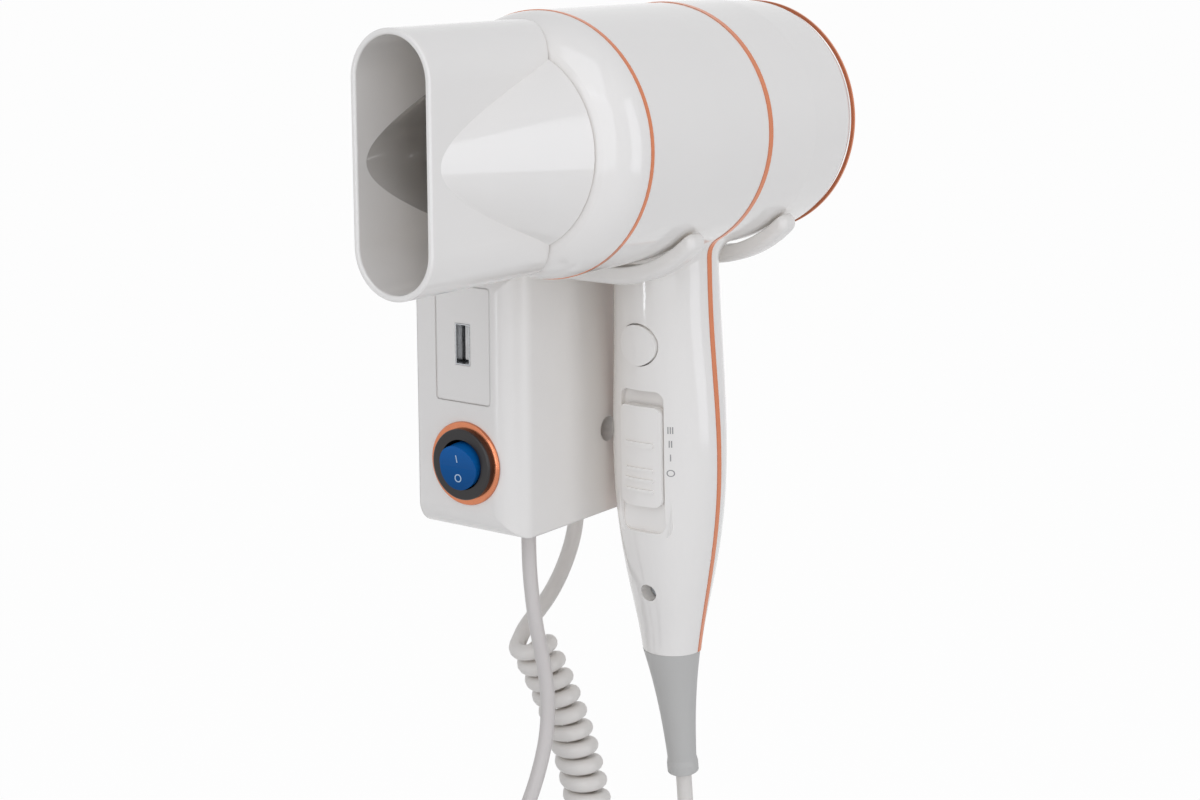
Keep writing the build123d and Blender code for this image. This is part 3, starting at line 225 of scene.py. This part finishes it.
def shaded(hex_value, factor):
    """Linear RGBA colour of an sRGB hex value, made lighter or darker by a factor."""
    return (*[min(1.0, c * factor) for c in tone(hex_value)[:3]], 1.0)


def add_node(tree, kind, values=(), links=(), **settings):
    """Adds a shader node with its settings, socket values and incoming links."""
    made = tree.nodes.new(kind)
    for name, value in settings.items():
        setattr(made, name, value)
    for socket, value in dict(values).items():
        made.inputs[socket].default_value = value
    for socket, source, output in links:
        tree.links.new(source.outputs[output], made.inputs[socket])
    return made


def new_material(name):
    """Empty node material, its tree and its output node."""
    material = bpy.data.materials.new(name)
    material.use_nodes = True
    tree = material.node_tree
    tree.nodes.clear()
    return material, tree, add_node(tree, "ShaderNodeOutputMaterial")


def moulded_plastic(
    name, hex_value, roughness, grain_mm, grain_depth_mm, spread=0.06, edge_mm=0.0, **sockets
):
    """Injection-moulded plastic: even colour with a faint flow tone, fine surface grain, softened edges."""
    flow_mm = 35
    material, tree, output = new_material(name)
    place = add_node(tree, "ShaderNodeTexCoord")
    flow = add_node(
        tree, "ShaderNodeTexNoise", {"Scale": 1 / (flow_mm * MM), "Detail": 2.0},
        [("Vector", place, "Object")],
    )
    colour = add_node(
        tree, "ShaderNodeMix", {6: shaded(hex_value, 0.985), 7: shaded(hex_value, 1.01)},
        [("Factor", flow, "Fac")], data_type="RGBA",
    )
    rough = add_node(
        tree, "ShaderNodeMapRange",
        {"To Min": max(0.02, roughness - spread), "To Max": roughness + spread}, [("Value", flow, "Fac")],
    )
    grain = add_node(
        tree, "ShaderNodeTexNoise", {"Scale": 1 / (grain_mm * MM), "Detail": 3.0},
        [("Vector", place, "Object")],
    )
    bump = add_node(
        tree, "ShaderNodeBump", {"Strength": 0.35, "Distance": grain_depth_mm * MM},
        [("Height", grain, "Fac")],
    )
    if edge_mm > 0:
        edge = add_node(tree, "ShaderNodeBevel", {"Radius": edge_mm * MM}, samples=6)
        tree.links.new(edge.outputs["Normal"], bump.inputs["Normal"])
    shader = add_node(
        tree, "ShaderNodeBsdfPrincipled", sockets,
        [("Base Color", colour, 2), ("Roughness", rough, "Result"), ("Normal", bump, "Normal")],
    )
    tree.links.new(shader.outputs["BSDF"], output.inputs["Surface"])
    return material


def plated_metal(name, hex_value, roughness, grain_mm, grain_depth_mm, stretch=(1, 1, 1)):
    """Metal or plating: a tinted reflection with drawn or rolled lines along the stretched direction."""
    material, tree, output = new_material(name)
    place = add_node(tree, "ShaderNodeTexCoord")
    turn = add_node(tree, "ShaderNodeMapping", {"Scale": stretch}, [("Vector", place, "Object")])
    lines = add_node(
        tree, "ShaderNodeTexNoise", {"Scale": 1 / (grain_mm * MM), "Detail": 4.0},
        [("Vector", turn, "Vector")],
    )
    colour = add_node(
        tree, "ShaderNodeMix", {6: shaded(hex_value, 0.9), 7: shaded(hex_value, 1.06)},
        [("Factor", lines, "Fac")], data_type="RGBA",
    )
    rough = add_node(
        tree, "ShaderNodeMapRange", {"To Min": roughness * 0.7, "To Max": roughness * 1.4},
        [("Value", lines, "Fac")],
    )
    bump = add_node(
        tree, "ShaderNodeBump", {"Strength": 0.3, "Distance": grain_depth_mm * MM}, [("Height", lines, "Fac")]
    )
    shader = add_node(
        tree, "ShaderNodeBsdfPrincipled", {"Metallic": 1.0},
        [("Base Color", colour, 2), ("Roughness", rough, "Result"), ("Normal", bump, "Normal")],
    )
    tree.links.new(shader.outputs["BSDF"], output.inputs["Surface"])
    return material


def clear_switch_cap(name, hex_value):
    """Tinted polycarbonate: deep colour with painted light, lighter towards the top and darker towards the
    bottom, a soft sheen.
    """
    material, tree, output = new_material(name)
    place = add_node(tree, "ShaderNodeTexCoord")
    split = add_node(tree, "ShaderNodeSeparateXYZ", links=[("Vector", place, "Object")])
    low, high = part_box("rocker")
    # Painted top light: by height alone, the cap's colour runs from darker at the bottom to lighter at the
    # top
    added_light = add_node(
        tree, "ShaderNodeMapRange", {"From Min": low.z, "From Max": high.z}, [("Value", split, "Z")]
    )
    colour = add_node(
        tree, "ShaderNodeMix", {6: shaded(hex_value, 0.72), 7: shaded(hex_value, 1.25)},
        [("Factor", added_light, "Result")], data_type="RGBA",
    )
    shader = add_node(
        tree, "ShaderNodeBsdfPrincipled",
        {"Roughness": 0.2, "IOR": 1.58, "Specular IOR Level": 0.08},
        [("Base Color", colour, 2)],
    )
    tree.links.new(shader.outputs["BSDF"], output.inputs["Surface"])
    return material


def circuit_board(name):
    """Glass-fibre board: green solder mask over a faint weave."""
    weave_mm = 2.4
    material, tree, output = new_material(name)
    place = add_node(tree, "ShaderNodeTexCoord")
    weave = add_node(
        tree, "ShaderNodeTexVoronoi", {"Scale": 1 / (weave_mm * MM)}, [("Vector", place, "Object")],
        distance="CHEBYCHEV",
    )
    colour = add_node(
        tree, "ShaderNodeMix", {6: tone("1E5A34"), 7: tone("2F7A47")}, [("Factor", weave, "Distance")],
        data_type="RGBA",
    )
    shader = add_node(
        tree, "ShaderNodeBsdfPrincipled", {"Roughness": 0.35}, [("Base Color", colour, 2)]
    )
    tree.links.new(shader.outputs["BSDF"], output.inputs["Surface"])
    return material


def dress(material, *names):
    """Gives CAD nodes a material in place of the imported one."""
    for name in names:
        slots = NODES[name].data.materials
        slots.clear()
        slots.append(material)


def deselect():
    """Nothing selected, object mode."""
    bpy.ops.object.select_all(action="DESELECT")


def settle(piece, material, body):
    """Applies a piece's place to its mesh, gives it its material and slot and lets it ride on a body."""
    deselect()
    piece.select_set(True)
    bpy.context.view_layer.objects.active = piece
    bpy.ops.object.transform_apply(location=True, rotation=True, scale=True)
    piece.data.materials.clear()
    piece.data.materials.append(material)
    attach(piece, body)


def spline_curve(name, points, diameter, steps):
    """Round tube along one open NURBS spline, from its control points in metres."""
    curve = bpy.data.curves.new(name, "CURVE")
    curve.dimensions = "3D"
    curve.resolution_u = steps
    curve.bevel_depth = diameter / 2
    curve.bevel_resolution = 5
    curve.use_fill_caps = True
    spline = curve.splines.new("NURBS")
    spline.points.add(len(points) - 1)
    for control, point in zip(spline.points, points):
        control.co = (*point, 1.0)
    spline.order_u = 3
    spline.use_endpoint_u = True
    made = bpy.data.objects.new(name, curve)
    bpy.context.scene.collection.objects.link(made)
    return made


def in_metres(points):
    """Points in millimetres as vectors in metres."""
    return [Vector(point) * MM for point in points]


def coil_points(cords):
    """Control points of the put-away coil: in on one layer, out on the next, then straight to the plug."""
    middle = Vector(COIL_MIDDLE) * MM
    outer = cords.coil_radius + cords.coil_step * cords.coil_turns / 2
    loops = 2 * cords.coil_turns
    per_turn = 20
    change_turns = 0.5
    points = []
    for i in range(loops * per_turn + 1):
        turn = i / per_turn
        climb = min(max((turn - cords.coil_turns) / change_turns + 0.5, 0), 1)
        inward = cords.coil_step * (turn if turn < cords.coil_turns else loops - turn)
        angle = -2 * math.pi * turn
        radius = outer - inward
        offset = (math.cos(angle) * radius, climb * cords.coil_step, math.sin(angle) * radius)
        points.append(middle + Vector(offset))
    slope = cords.coil_step / (2 * math.pi * outer)
    leaving = Vector((slope, 0, -1)).normalized()
    entering = Vector((-slope, 0, -1)).normalized()
    before = [points[0] - entering * COIL_RUN_IN * MM, points[0] - entering * cords.lead_diameter]
    after = [points[-1] + leaving * cords.coil_tail / 2, points[-1] + leaving * cords.coil_tail]
    return before + points + after


def curl_points(cords):
    """Control points of the curls, wound left-handed round an axis bent to an arc."""
    start = Vector(CURL_START) * MM
    start_tilt = CURL_START_TILT
    bend = CURL_BEND * MM
    side = Vector((1, 1, 0)).normalized()
    out = Vector((1, -1, 0)).normalized()
    per_turn = 16
    points = []
    for i in range(round(cords.curl_count * per_turn) + 1):
        turn = i / per_turn
        tilt = start_tilt - cords.curl_pitch * turn / bend
        along = bend * (math.cos(tilt) - math.cos(start_tilt))
        down = bend * (math.sin(start_tilt) - math.sin(tilt))
        across = out * math.cos(tilt) + Vector((0, 0, math.sin(tilt)))
        angle = 2 * math.pi * (turn + CURL_PHASE)
        ring = (across * math.cos(angle) + side * math.sin(angle)) * cords.curl_radius
        points.append(start + out * along - Vector((0, 0, down)) + ring)
    return points


class DRYER_OT_stage(bpy.types.Operator):
    """Camera at the photographed angle, pale floor, even world and four soft lights"""

    bl_idname = "dryer.stage"
    bl_label = "Stage"

    def execute(self, context):
        stage = context.scene.dryer_stage
        camera = bpy.data.objects.new("camera", bpy.data.cameras.new("camera"))
        context.scene.collection.objects.link(camera)
        camera.location = stage.camera_place
        camera.rotation_euler = (stage.camera_pitch, 0, stage.camera_heading)
        camera.data.sensor_width = 36
        camera.data.lens = stage.camera_lens
        camera.data.clip_start = 0.01
        context.scene.camera = camera
        context.scene.view_settings.view_transform = "Standard"
        # White walls pass light on many times, which is what lights the nozzle's duct
        context.scene.cycles.diffuse_bounces = 12
        self.floor(stage)
        self.world(context.scene, stage)
        self.lamp("key", (-1.0, -0.6, 1.4), (1.2, 1.2), stage.key_power)
        self.lamp("front", (-1.4, -0.75, 0.25), (1.6, 1.6), stage.front_power)
        self.lamp("tall_softbox", (0.17, -1.45, -0.15), (0.6, 2.5), stage.tall_power)
        # The narrow strip only draws the fine upright line on the handle's gloss
        self.lamp("strip", (-1.4, 0.31, -0.35), (0.12, 0.9), stage.strip_power).visible_diffuse = False
        return {"FINISHED"}

    def floor(self, stage):
        """Wide pale floor that shows white to the camera and keeps a faint shadow."""
        deselect()
        height = CAD_BOX[0].z - stage.floor_drop
        bpy.ops.mesh.primitive_plane_add(size=60, location=(0, 0, height))
        floor = bpy.context.active_object
        floor.name = "floor"
        material, tree, output = new_material("pale_floor")
        glow_share = 0.97
        path = add_node(tree, "ShaderNodeLightPath")
        seen = self.seen_rays(tree, path)
        share = add_node(tree, "ShaderNodeMath", {1: glow_share}, [(0, seen, "Value")], operation="MULTIPLY")
        matt = add_node(tree, "ShaderNodeBsdfDiffuse", {"Color": tone("EDEDED")})
        added_light = add_node(tree, "ShaderNodeEmission", {"Strength": 1.0})
        mixed = add_node(tree, "ShaderNodeMixShader", links=[(0, share, "Value"), (1, matt, "BSDF")])
        tree.links.new(added_light.outputs["Emission"], mixed.inputs[2])
        tree.links.new(mixed.outputs["Shader"], output.inputs["Surface"])
        floor.data.materials.append(material)

    def seen_rays(self, tree, path):
        """1 for rays from the camera, from gloss and through clear pieces, 0 for soft light."""
        direct = add_node(
            tree, "ShaderNodeMath", links=[(0, path, "Is Camera Ray"), (1, path, "Is Glossy Ray")],
            operation="MAXIMUM",
        )
        return add_node(
            tree, "ShaderNodeMath", links=[(0, direct, "Value"), (1, path, "Is Transmission Ray")],
            operation="MAXIMUM",
        )

    def world(self, scene, stage):
        """Even light, white where the camera sees past the floor."""
        world = bpy.data.worlds.new("studio")
        world.use_nodes = True
        tree = world.node_tree
        tree.nodes.clear()
        path = add_node(tree, "ShaderNodeLightPath")
        seen = self.seen_rays(tree, path)
        even = add_node(
            tree, "ShaderNodeBackground", {"Color": tone(stage.light_tint), "Strength": stage.world_level}
        )
        white = add_node(tree, "ShaderNodeBackground", {"Color": (1, 1, 1, 1), "Strength": 1.0})
        mixed = add_node(tree, "ShaderNodeMixShader", links=[(0, seen, "Value"), (1, even, "Background")])
        tree.links.new(white.outputs["Background"], mixed.inputs[2])
        add_node(tree, "ShaderNodeOutputWorld", links=[("Surface", mixed, "Shader")])
        scene.world = world

    def lamp(self, name, place, size, power):
        """Soft rectangular light that faces the barrel and isn't itself in the picture."""
        light = bpy.data.lights.new(name, "AREA")
        light.shape = "RECTANGLE"
        light.size, light.size_y = size
        light.energy = power
        light.color = tone(bpy.context.scene.dryer_stage.light_tint)[:3]
        lamp = bpy.data.objects.new(name, light)
        bpy.context.scene.collection.objects.link(lamp)
        lamp.location = place
        lamp.visible_camera = False
        aim = Vector(LAMP_AIM) - Vector(place)
        lamp.rotation_euler = aim.to_track_quat("-Z", "Y").to_euler()
        return lamp


class DRYER_OT_mains_lead(bpy.types.Operator):
    """Mains lead from its gland to the tied coil and the plug"""

    bl_idname = "dryer.mains_lead"
    bl_label = "Mains lead"

    def execute(self, context):
        cords = context.scene.dryer_cords
        # Plasticised PVC: dull and even, with a faint bloom
        jacket = moulded_plastic(
            "pvc_lead_jacket", context.scene.dryer_finish.lead, 0.42, 0.5, 0.05,
            **{"IOR": 1.5, "Sheen Weight": 0.05},
        )
        points = in_metres(LEAD_ROUTE) + coil_points(cords)
        lead = spline_curve("lead", points, cords.lead_diameter, 6)
        lead.data.materials.append(jacket)
        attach(lead, "base")
        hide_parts("mains_lead", "mains_coil")
        return {"FINISHED"}


class DRYER_OT_curly_cord(bpy.types.Operator):
    """Curly cord from the holder to the boot, with its plain tail as a separate tube"""

    bl_idname = "dryer.curly_cord"
    bl_label = "Curly cord"

    def execute(self, context):
        cords = context.scene.dryer_cords
        # Polyurethane: smoother than the lead, with a soft shine on each curl
        jacket = moulded_plastic(
            "pu_curly_jacket", context.scene.dryer_finish.curly, 0.34, 0.6, 0.05, **{"IOR": 1.5}
        )
        curls = curl_points(cords)
        first = (curls[1] - curls[0]).normalized()
        last = (curls[-1] - curls[-2]).normalized()
        boot = Vector(BOOT_END) * MM
        run = 8 * MM
        tail = in_metres(CURLY_TAIL) + [boot + Vector(BOOT_DIRECTION) * run, boot]
        # The curve passes the middle of this leg along the leg, so the two tubes meet there in one line
        meet = (tail[0] + tail[1]) / 2
        points = in_metres(CURLY_LEAD_IN) + [curls[0] - first * run] + curls
        points += [curls[-1] + last * run, tail[0], meet]
        curly, path = self.tube(context, "curly", points, cords.curly_diameter, jacket)
        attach(curly, "base")
        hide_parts("curly_cord")
        back = [*reversed(tail[1:]), meet]
        plain, path = self.tube(context, "curly_tail", back, cords.curly_diameter, jacket)
        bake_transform(plain)
        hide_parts("curly_cord")
        return {"FINISHED"}

    def tube(self, context, name, points, diameter, jacket):
        """Smooth mesh tube along a spline, and the points of its centreline."""
        line = spline_curve(name + "_line", points, diameter, 4)
        mesh = bpy.data.meshes.new_from_object(self.evaluated(context, line))
        line.data.bevel_depth = 0
        bare = bpy.data.meshes.new_from_object(self.evaluated(context, line))
        path = [vertex.co.copy() for vertex in bare.vertices]
        path = [path[0]] + [b for a, b in zip(path, path[1:]) if (b - a).length > 1e-6]
        bpy.data.objects.remove(line)
        for face in mesh.polygons:
            face.use_smooth = True
        mesh.materials.clear()
        mesh.materials.append(jacket)
        made = bpy.data.objects.new(name, mesh)
        context.scene.collection.objects.link(made)
        return made, path

    def evaluated(self, context, made):
        """The curve as the scene evaluates it now."""
        context.view_layer.update()
        return made.evaluated_get(context.evaluated_depsgraph_get())


class DRYER_OT_shell_finish(bpy.types.Operator):
    """Finishes of the dryer's own pieces, outside and in"""

    bl_idname = "dryer.shell_finish"
    bl_label = "Dryer finishes"

    def execute(self, context):
        finish = context.scene.dryer_finish
        # Glossy ABS: a mirror-like skin with a faint long wave from the mould
        shell = moulded_plastic(
            "glossy_abs_shell", finish.shell, 0.11, 3.0, 0.008, 0.02, **{"IOR": 1.53, "Coat Weight": 0.25}
        )
        dress(shell, "front_shell", "rear_shell", "nozzle", "speed_knob", "cool_button", "rear_grille")
        # Rose-gold plating: warm mirror with a slightly uneven film
        trim = plated_metal("rose_gold_plating", finish.trim, 0.2, 2.5, 0.01)
        dress(trim, "seam_strip", "front_trim_ring", "rear_trim_ring", "rocker_trim_ring")
        # Soft thermoplastic rubber: dull, slightly powdery
        boot = moulded_plastic(
            "grey_soft_rubber", finish.boot, 0.55, 0.8, 0.06, 0.05, 0.4, **{"IOR": 1.5, "Sheen Weight": 0.15}
        )
        dress(boot, "cord_boot")
        # Screws: cool bright zinc
        zinc = plated_metal("zinc_plated_steel", "B9BCC0", 0.3, 0.6, 0.02)
        dress(zinc, "handle_screw", "base_screw", "fork_screws")
        # Motor and heater: drawn steel with lines along its length, a dark alloy, flaky tan mica
        can = plated_metal("drawn_motor_can", "A6A8AB", 0.34, 0.8, 0.02, (1, 6, 6))
        dress(can, "motor", "thermal_cutout")
        dress(plated_metal("ground_steel_shaft", "C4C6C9", 0.2, 0.5, 0.01, (6, 1, 1)), "motor_shaft")
        dress(plated_metal("heater_alloy_wire", "8A7F78", 0.4, 0.7, 0.02), "heater_wire")
        dress(moulded_plastic("mica_sheet", "B7A883", 0.4, 1.2, 0.05, 0.1), "heater_former")
        # Nylon and switch resin: dull, no reflection to speak of
        dress(moulded_plastic("filled_nylon", "D8D6D0", 0.45, 0.7, 0.05), "fan_duct", "fan_impeller")
        dress(moulded_plastic("black_nylon", "202122", 0.5, 0.6, 0.05), "outlet_grille", "intake_filter")
        resin = moulded_plastic("switch_body_resin", "2A2B2D", 0.4, 0.6, 0.04)
        dress(resin, "speed_switch", "cool_switch", "ion_module")
        dress(circuit_board("glass_fibre_board"), "handle_board", "usb_board", "power_board")
        return {"FINISHED"}


class DRYER_OT_holder_finish(bpy.types.Operator):
    """Finishes of the wall holder, its socket, switch and plug"""

    bl_idname = "dryer.holder_finish"
    bl_label = "Holder finishes"

    def execute(self, context):
        finish = context.scene.dryer_finish
        # Satin ABS with hand-friendly edges, a little duller than the dryer
        box = moulded_plastic(
            "satin_abs_holder", finish.holder, 0.26, 1.6, 0.02, 0.04, 0.9, **{"IOR": 1.53, "Coat Weight": 0.1}
        )
        dress(box, "base_housing", "cradle", "usb_panel")
        # Plain plate: unpolished, seen only from behind
        dress(moulded_plastic("plain_abs_plate", "DCDAD6", 0.45, 0.8, 0.05), "wall_plate")
        # Switch: satin black round a cap of saturated blue
        dress(moulded_plastic("black_switch_nylon", finish.bezel, 0.33, 0.5, 0.03, 0.05), "rocker_bezel")
        dress(clear_switch_cap("clear_blue_polycarbonate", finish.rocker), "rocker")
        # Socket, pins and terminals: bright nickel, pale resin, yellowish tinned brass
        dress(plated_metal("nickel_socket_shell", "BFC1C4", 0.25, 0.6, 0.01, (5, 1, 1)), "usb_shell")
        dress(moulded_plastic("socket_tongue_resin", "E9E7E3", 0.4, 0.4, 0.03), "usb_tongue")
        dress(plated_metal("tinned_brass", "CFC6AE", 0.28, 0.6, 0.01), "plug_pins", "switch_terminals")
        # Cord fittings: the lead's dull PVC, black nylon
        dress(moulded_plastic("pvc_gland", finish.lead, 0.45, 0.6, 0.05), "lead_gland", "curly_gland")
        dress(moulded_plastic("pvc_plug", finish.lead, 0.4, 0.8, 0.05, 0.05, 0.5), "plug")
        dress(moulded_plastic("black_tie", "1F2021", 0.5, 0.6, 0.05), "lead_tie")
        # Parts on the power board: coloured moulding resin
        dress(moulded_plastic("transformer_resin", "C9A23A", 0.4, 0.8, 0.05), "transformer")
        dress(moulded_plastic("terminal_resin", "3C6E4A", 0.4, 0.8, 0.05), "terminal_block")
        return {"FINISHED"}


def laid_mark(name, text, height, place, target, lift):
    """Printed mark: text made a mesh, turned to face the nozzle side and laid on a node's surface."""
    deselect()
    bpy.ops.object.text_add()
    mark = bpy.context.active_object
    mark.name = name
    mark.data.body = text
    mark.data.align_x = "CENTER"
    mark.data.align_y = "CENTER"
    mark.data.size = height / CAPITAL_SHARE
    mark.data.space_character = 0.9
    bpy.ops.object.convert(target="MESH")
    bpy.ops.object.mode_set(mode="EDIT")
    bpy.ops.mesh.select_all(action="SELECT")
    bpy.ops.mesh.subdivide(number_cuts=2)
    bpy.ops.object.mode_set(mode="OBJECT")
    surface = BVHTree.FromObject(NODES[target], bpy.context.evaluated_depsgraph_get())
    upright = Matrix(((0, 0, -1), (-1, 0, 0), (0, 1, 0))).to_4x4()
    mark.data.transform(upright)
    for vertex in mark.data.vertices:
        start = Vector((CAD_BOX[0].x - height, place[0] + vertex.co.y, place[1] + vertex.co.z))
        hit = surface.ray_cast(start, Vector((1, 0, 0)))[0]
        if hit is None:
            raise RuntimeError(f"{name} misses {target}")
        vertex.co = hit - Vector((lift, 0, 0))
    return mark


class DRYER_OT_marks(bpy.types.Operator):
    """Printed stops beside the slide switch and the on and off signs of the rocker"""

    bl_idname = "dryer.marks"
    bl_label = "Switch marks"

    def execute(self, context):
        # Pad print: flat ink with no gloss
        grey = moulded_plastic("grey_pad_print", context.scene.dryer_finish.marks, 0.5, 0.4, 0.01)
        pale = moulded_plastic("white_pad_print", "B4CBE0", 0.5, 0.4, 0.01)
        for text, height in STOPS:
            place = (STOP_Y * MM, height * MM)
            mark = laid_mark("stop_" + text, text, STOP_SIZE * MM, place, "front_shell", STOP_LIFT * MM)
            settle(mark, grey, "dryer")
        for text, height in SIGNS:
            place = (SIGN_Y * MM, (SIGN_MIDDLE_Z + height) * MM)
            mark = laid_mark("sign_" + text, text, SIGN_SIZE * MM, place, "rocker", SIGN_LIFT * MM)
            settle(mark, pale, "rocker")
        return {"FINISHED"}


class DRYER_OT_contacts(bpy.types.Operator):
    """Four plated contacts on the socket's tongue"""

    bl_idname = "dryer.contacts"
    bl_label = "Socket contacts"

    def execute(self, context):
        # Gold flash: warm and bright
        gold = plated_metal("gold_contacts", "E0B85A", 0.22, 0.3, 0.005)
        low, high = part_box("usb_tongue")
        middle = (low.z + high.z) / 2
        size = Vector(CONTACT_SIZE) * MM
        for i, offset in enumerate(CONTACT_OFFSETS):
            deselect()
            place = (low.x + CONTACT_INSET * MM, low.y - CONTACT_PROUD * MM, middle + offset * MM)
            bpy.ops.mesh.primitive_cube_add(size=1, location=place, scale=size)
            contact = bpy.context.active_object
            contact.name = f"contact_{i + 1}"
            bpy.ops.object.transform_apply(location=False, rotation=False, scale=True)
            bpy.ops.object.mode_set(mode="EDIT")
            bpy.ops.mesh.select_all(action="SELECT")
            bpy.ops.mesh.bevel(offset=CONTACT_BEVEL * MM, segments=2)
            bpy.ops.object.mode_set(mode="OBJECT")
            settle(contact, gold, "base")
        return {"FINISHED"}


class DRYER_PT_panel(bpy.types.Panel):
    """Lists the steps in order"""

    bl_idname = "DRYER_PT_panel"
    bl_label = "Hair Dryer"
    bl_space_type = "VIEW_3D"
    bl_region_type = "UI"
    bl_category = "Hair Dryer"

    def draw(self, context):
        for step in STEPS:
            self.layout.operator(step.bl_idname)


STEPS = (
    DRYER_OT_stage,
    DRYER_OT_mains_lead,
    DRYER_OT_curly_cord,
    DRYER_OT_shell_finish,
    DRYER_OT_holder_finish,
    DRYER_OT_marks,
    DRYER_OT_contacts,
)
GROUPS = (DryerFinish, DryerCords, DryerStage)


def register():
    """Registers the property groups, the steps and the panel."""
    for made in (*GROUPS, *STEPS, DRYER_PT_panel):
        bpy.utils.register_class(made)
    bpy.types.Scene.dryer_finish = PointerProperty(type=DryerFinish)
    bpy.types.Scene.dryer_cords = PointerProperty(type=DryerCords)
    bpy.types.Scene.dryer_stage = PointerProperty(type=DryerStage)


def unregister():
    """Takes everything back out."""
    del bpy.types.Scene.dryer_finish
    del bpy.types.Scene.dryer_cords
    del bpy.types.Scene.dryer_stage
    for made in reversed((*GROUPS, *STEPS, DRYER_PT_panel)):
        bpy.utils.unregister_class(made)


def main():
    """Builds the scene."""
    register()
    bpy.ops.dryer.stage()
    bpy.ops.dryer.mains_lead()
    bpy.ops.dryer.curly_cord()
    bpy.ops.dryer.shell_finish()
    bpy.ops.dryer.holder_finish()
    bpy.ops.dryer.marks()
    bpy.ops.dryer.contacts()


if __name__ == "__main__":
    main()
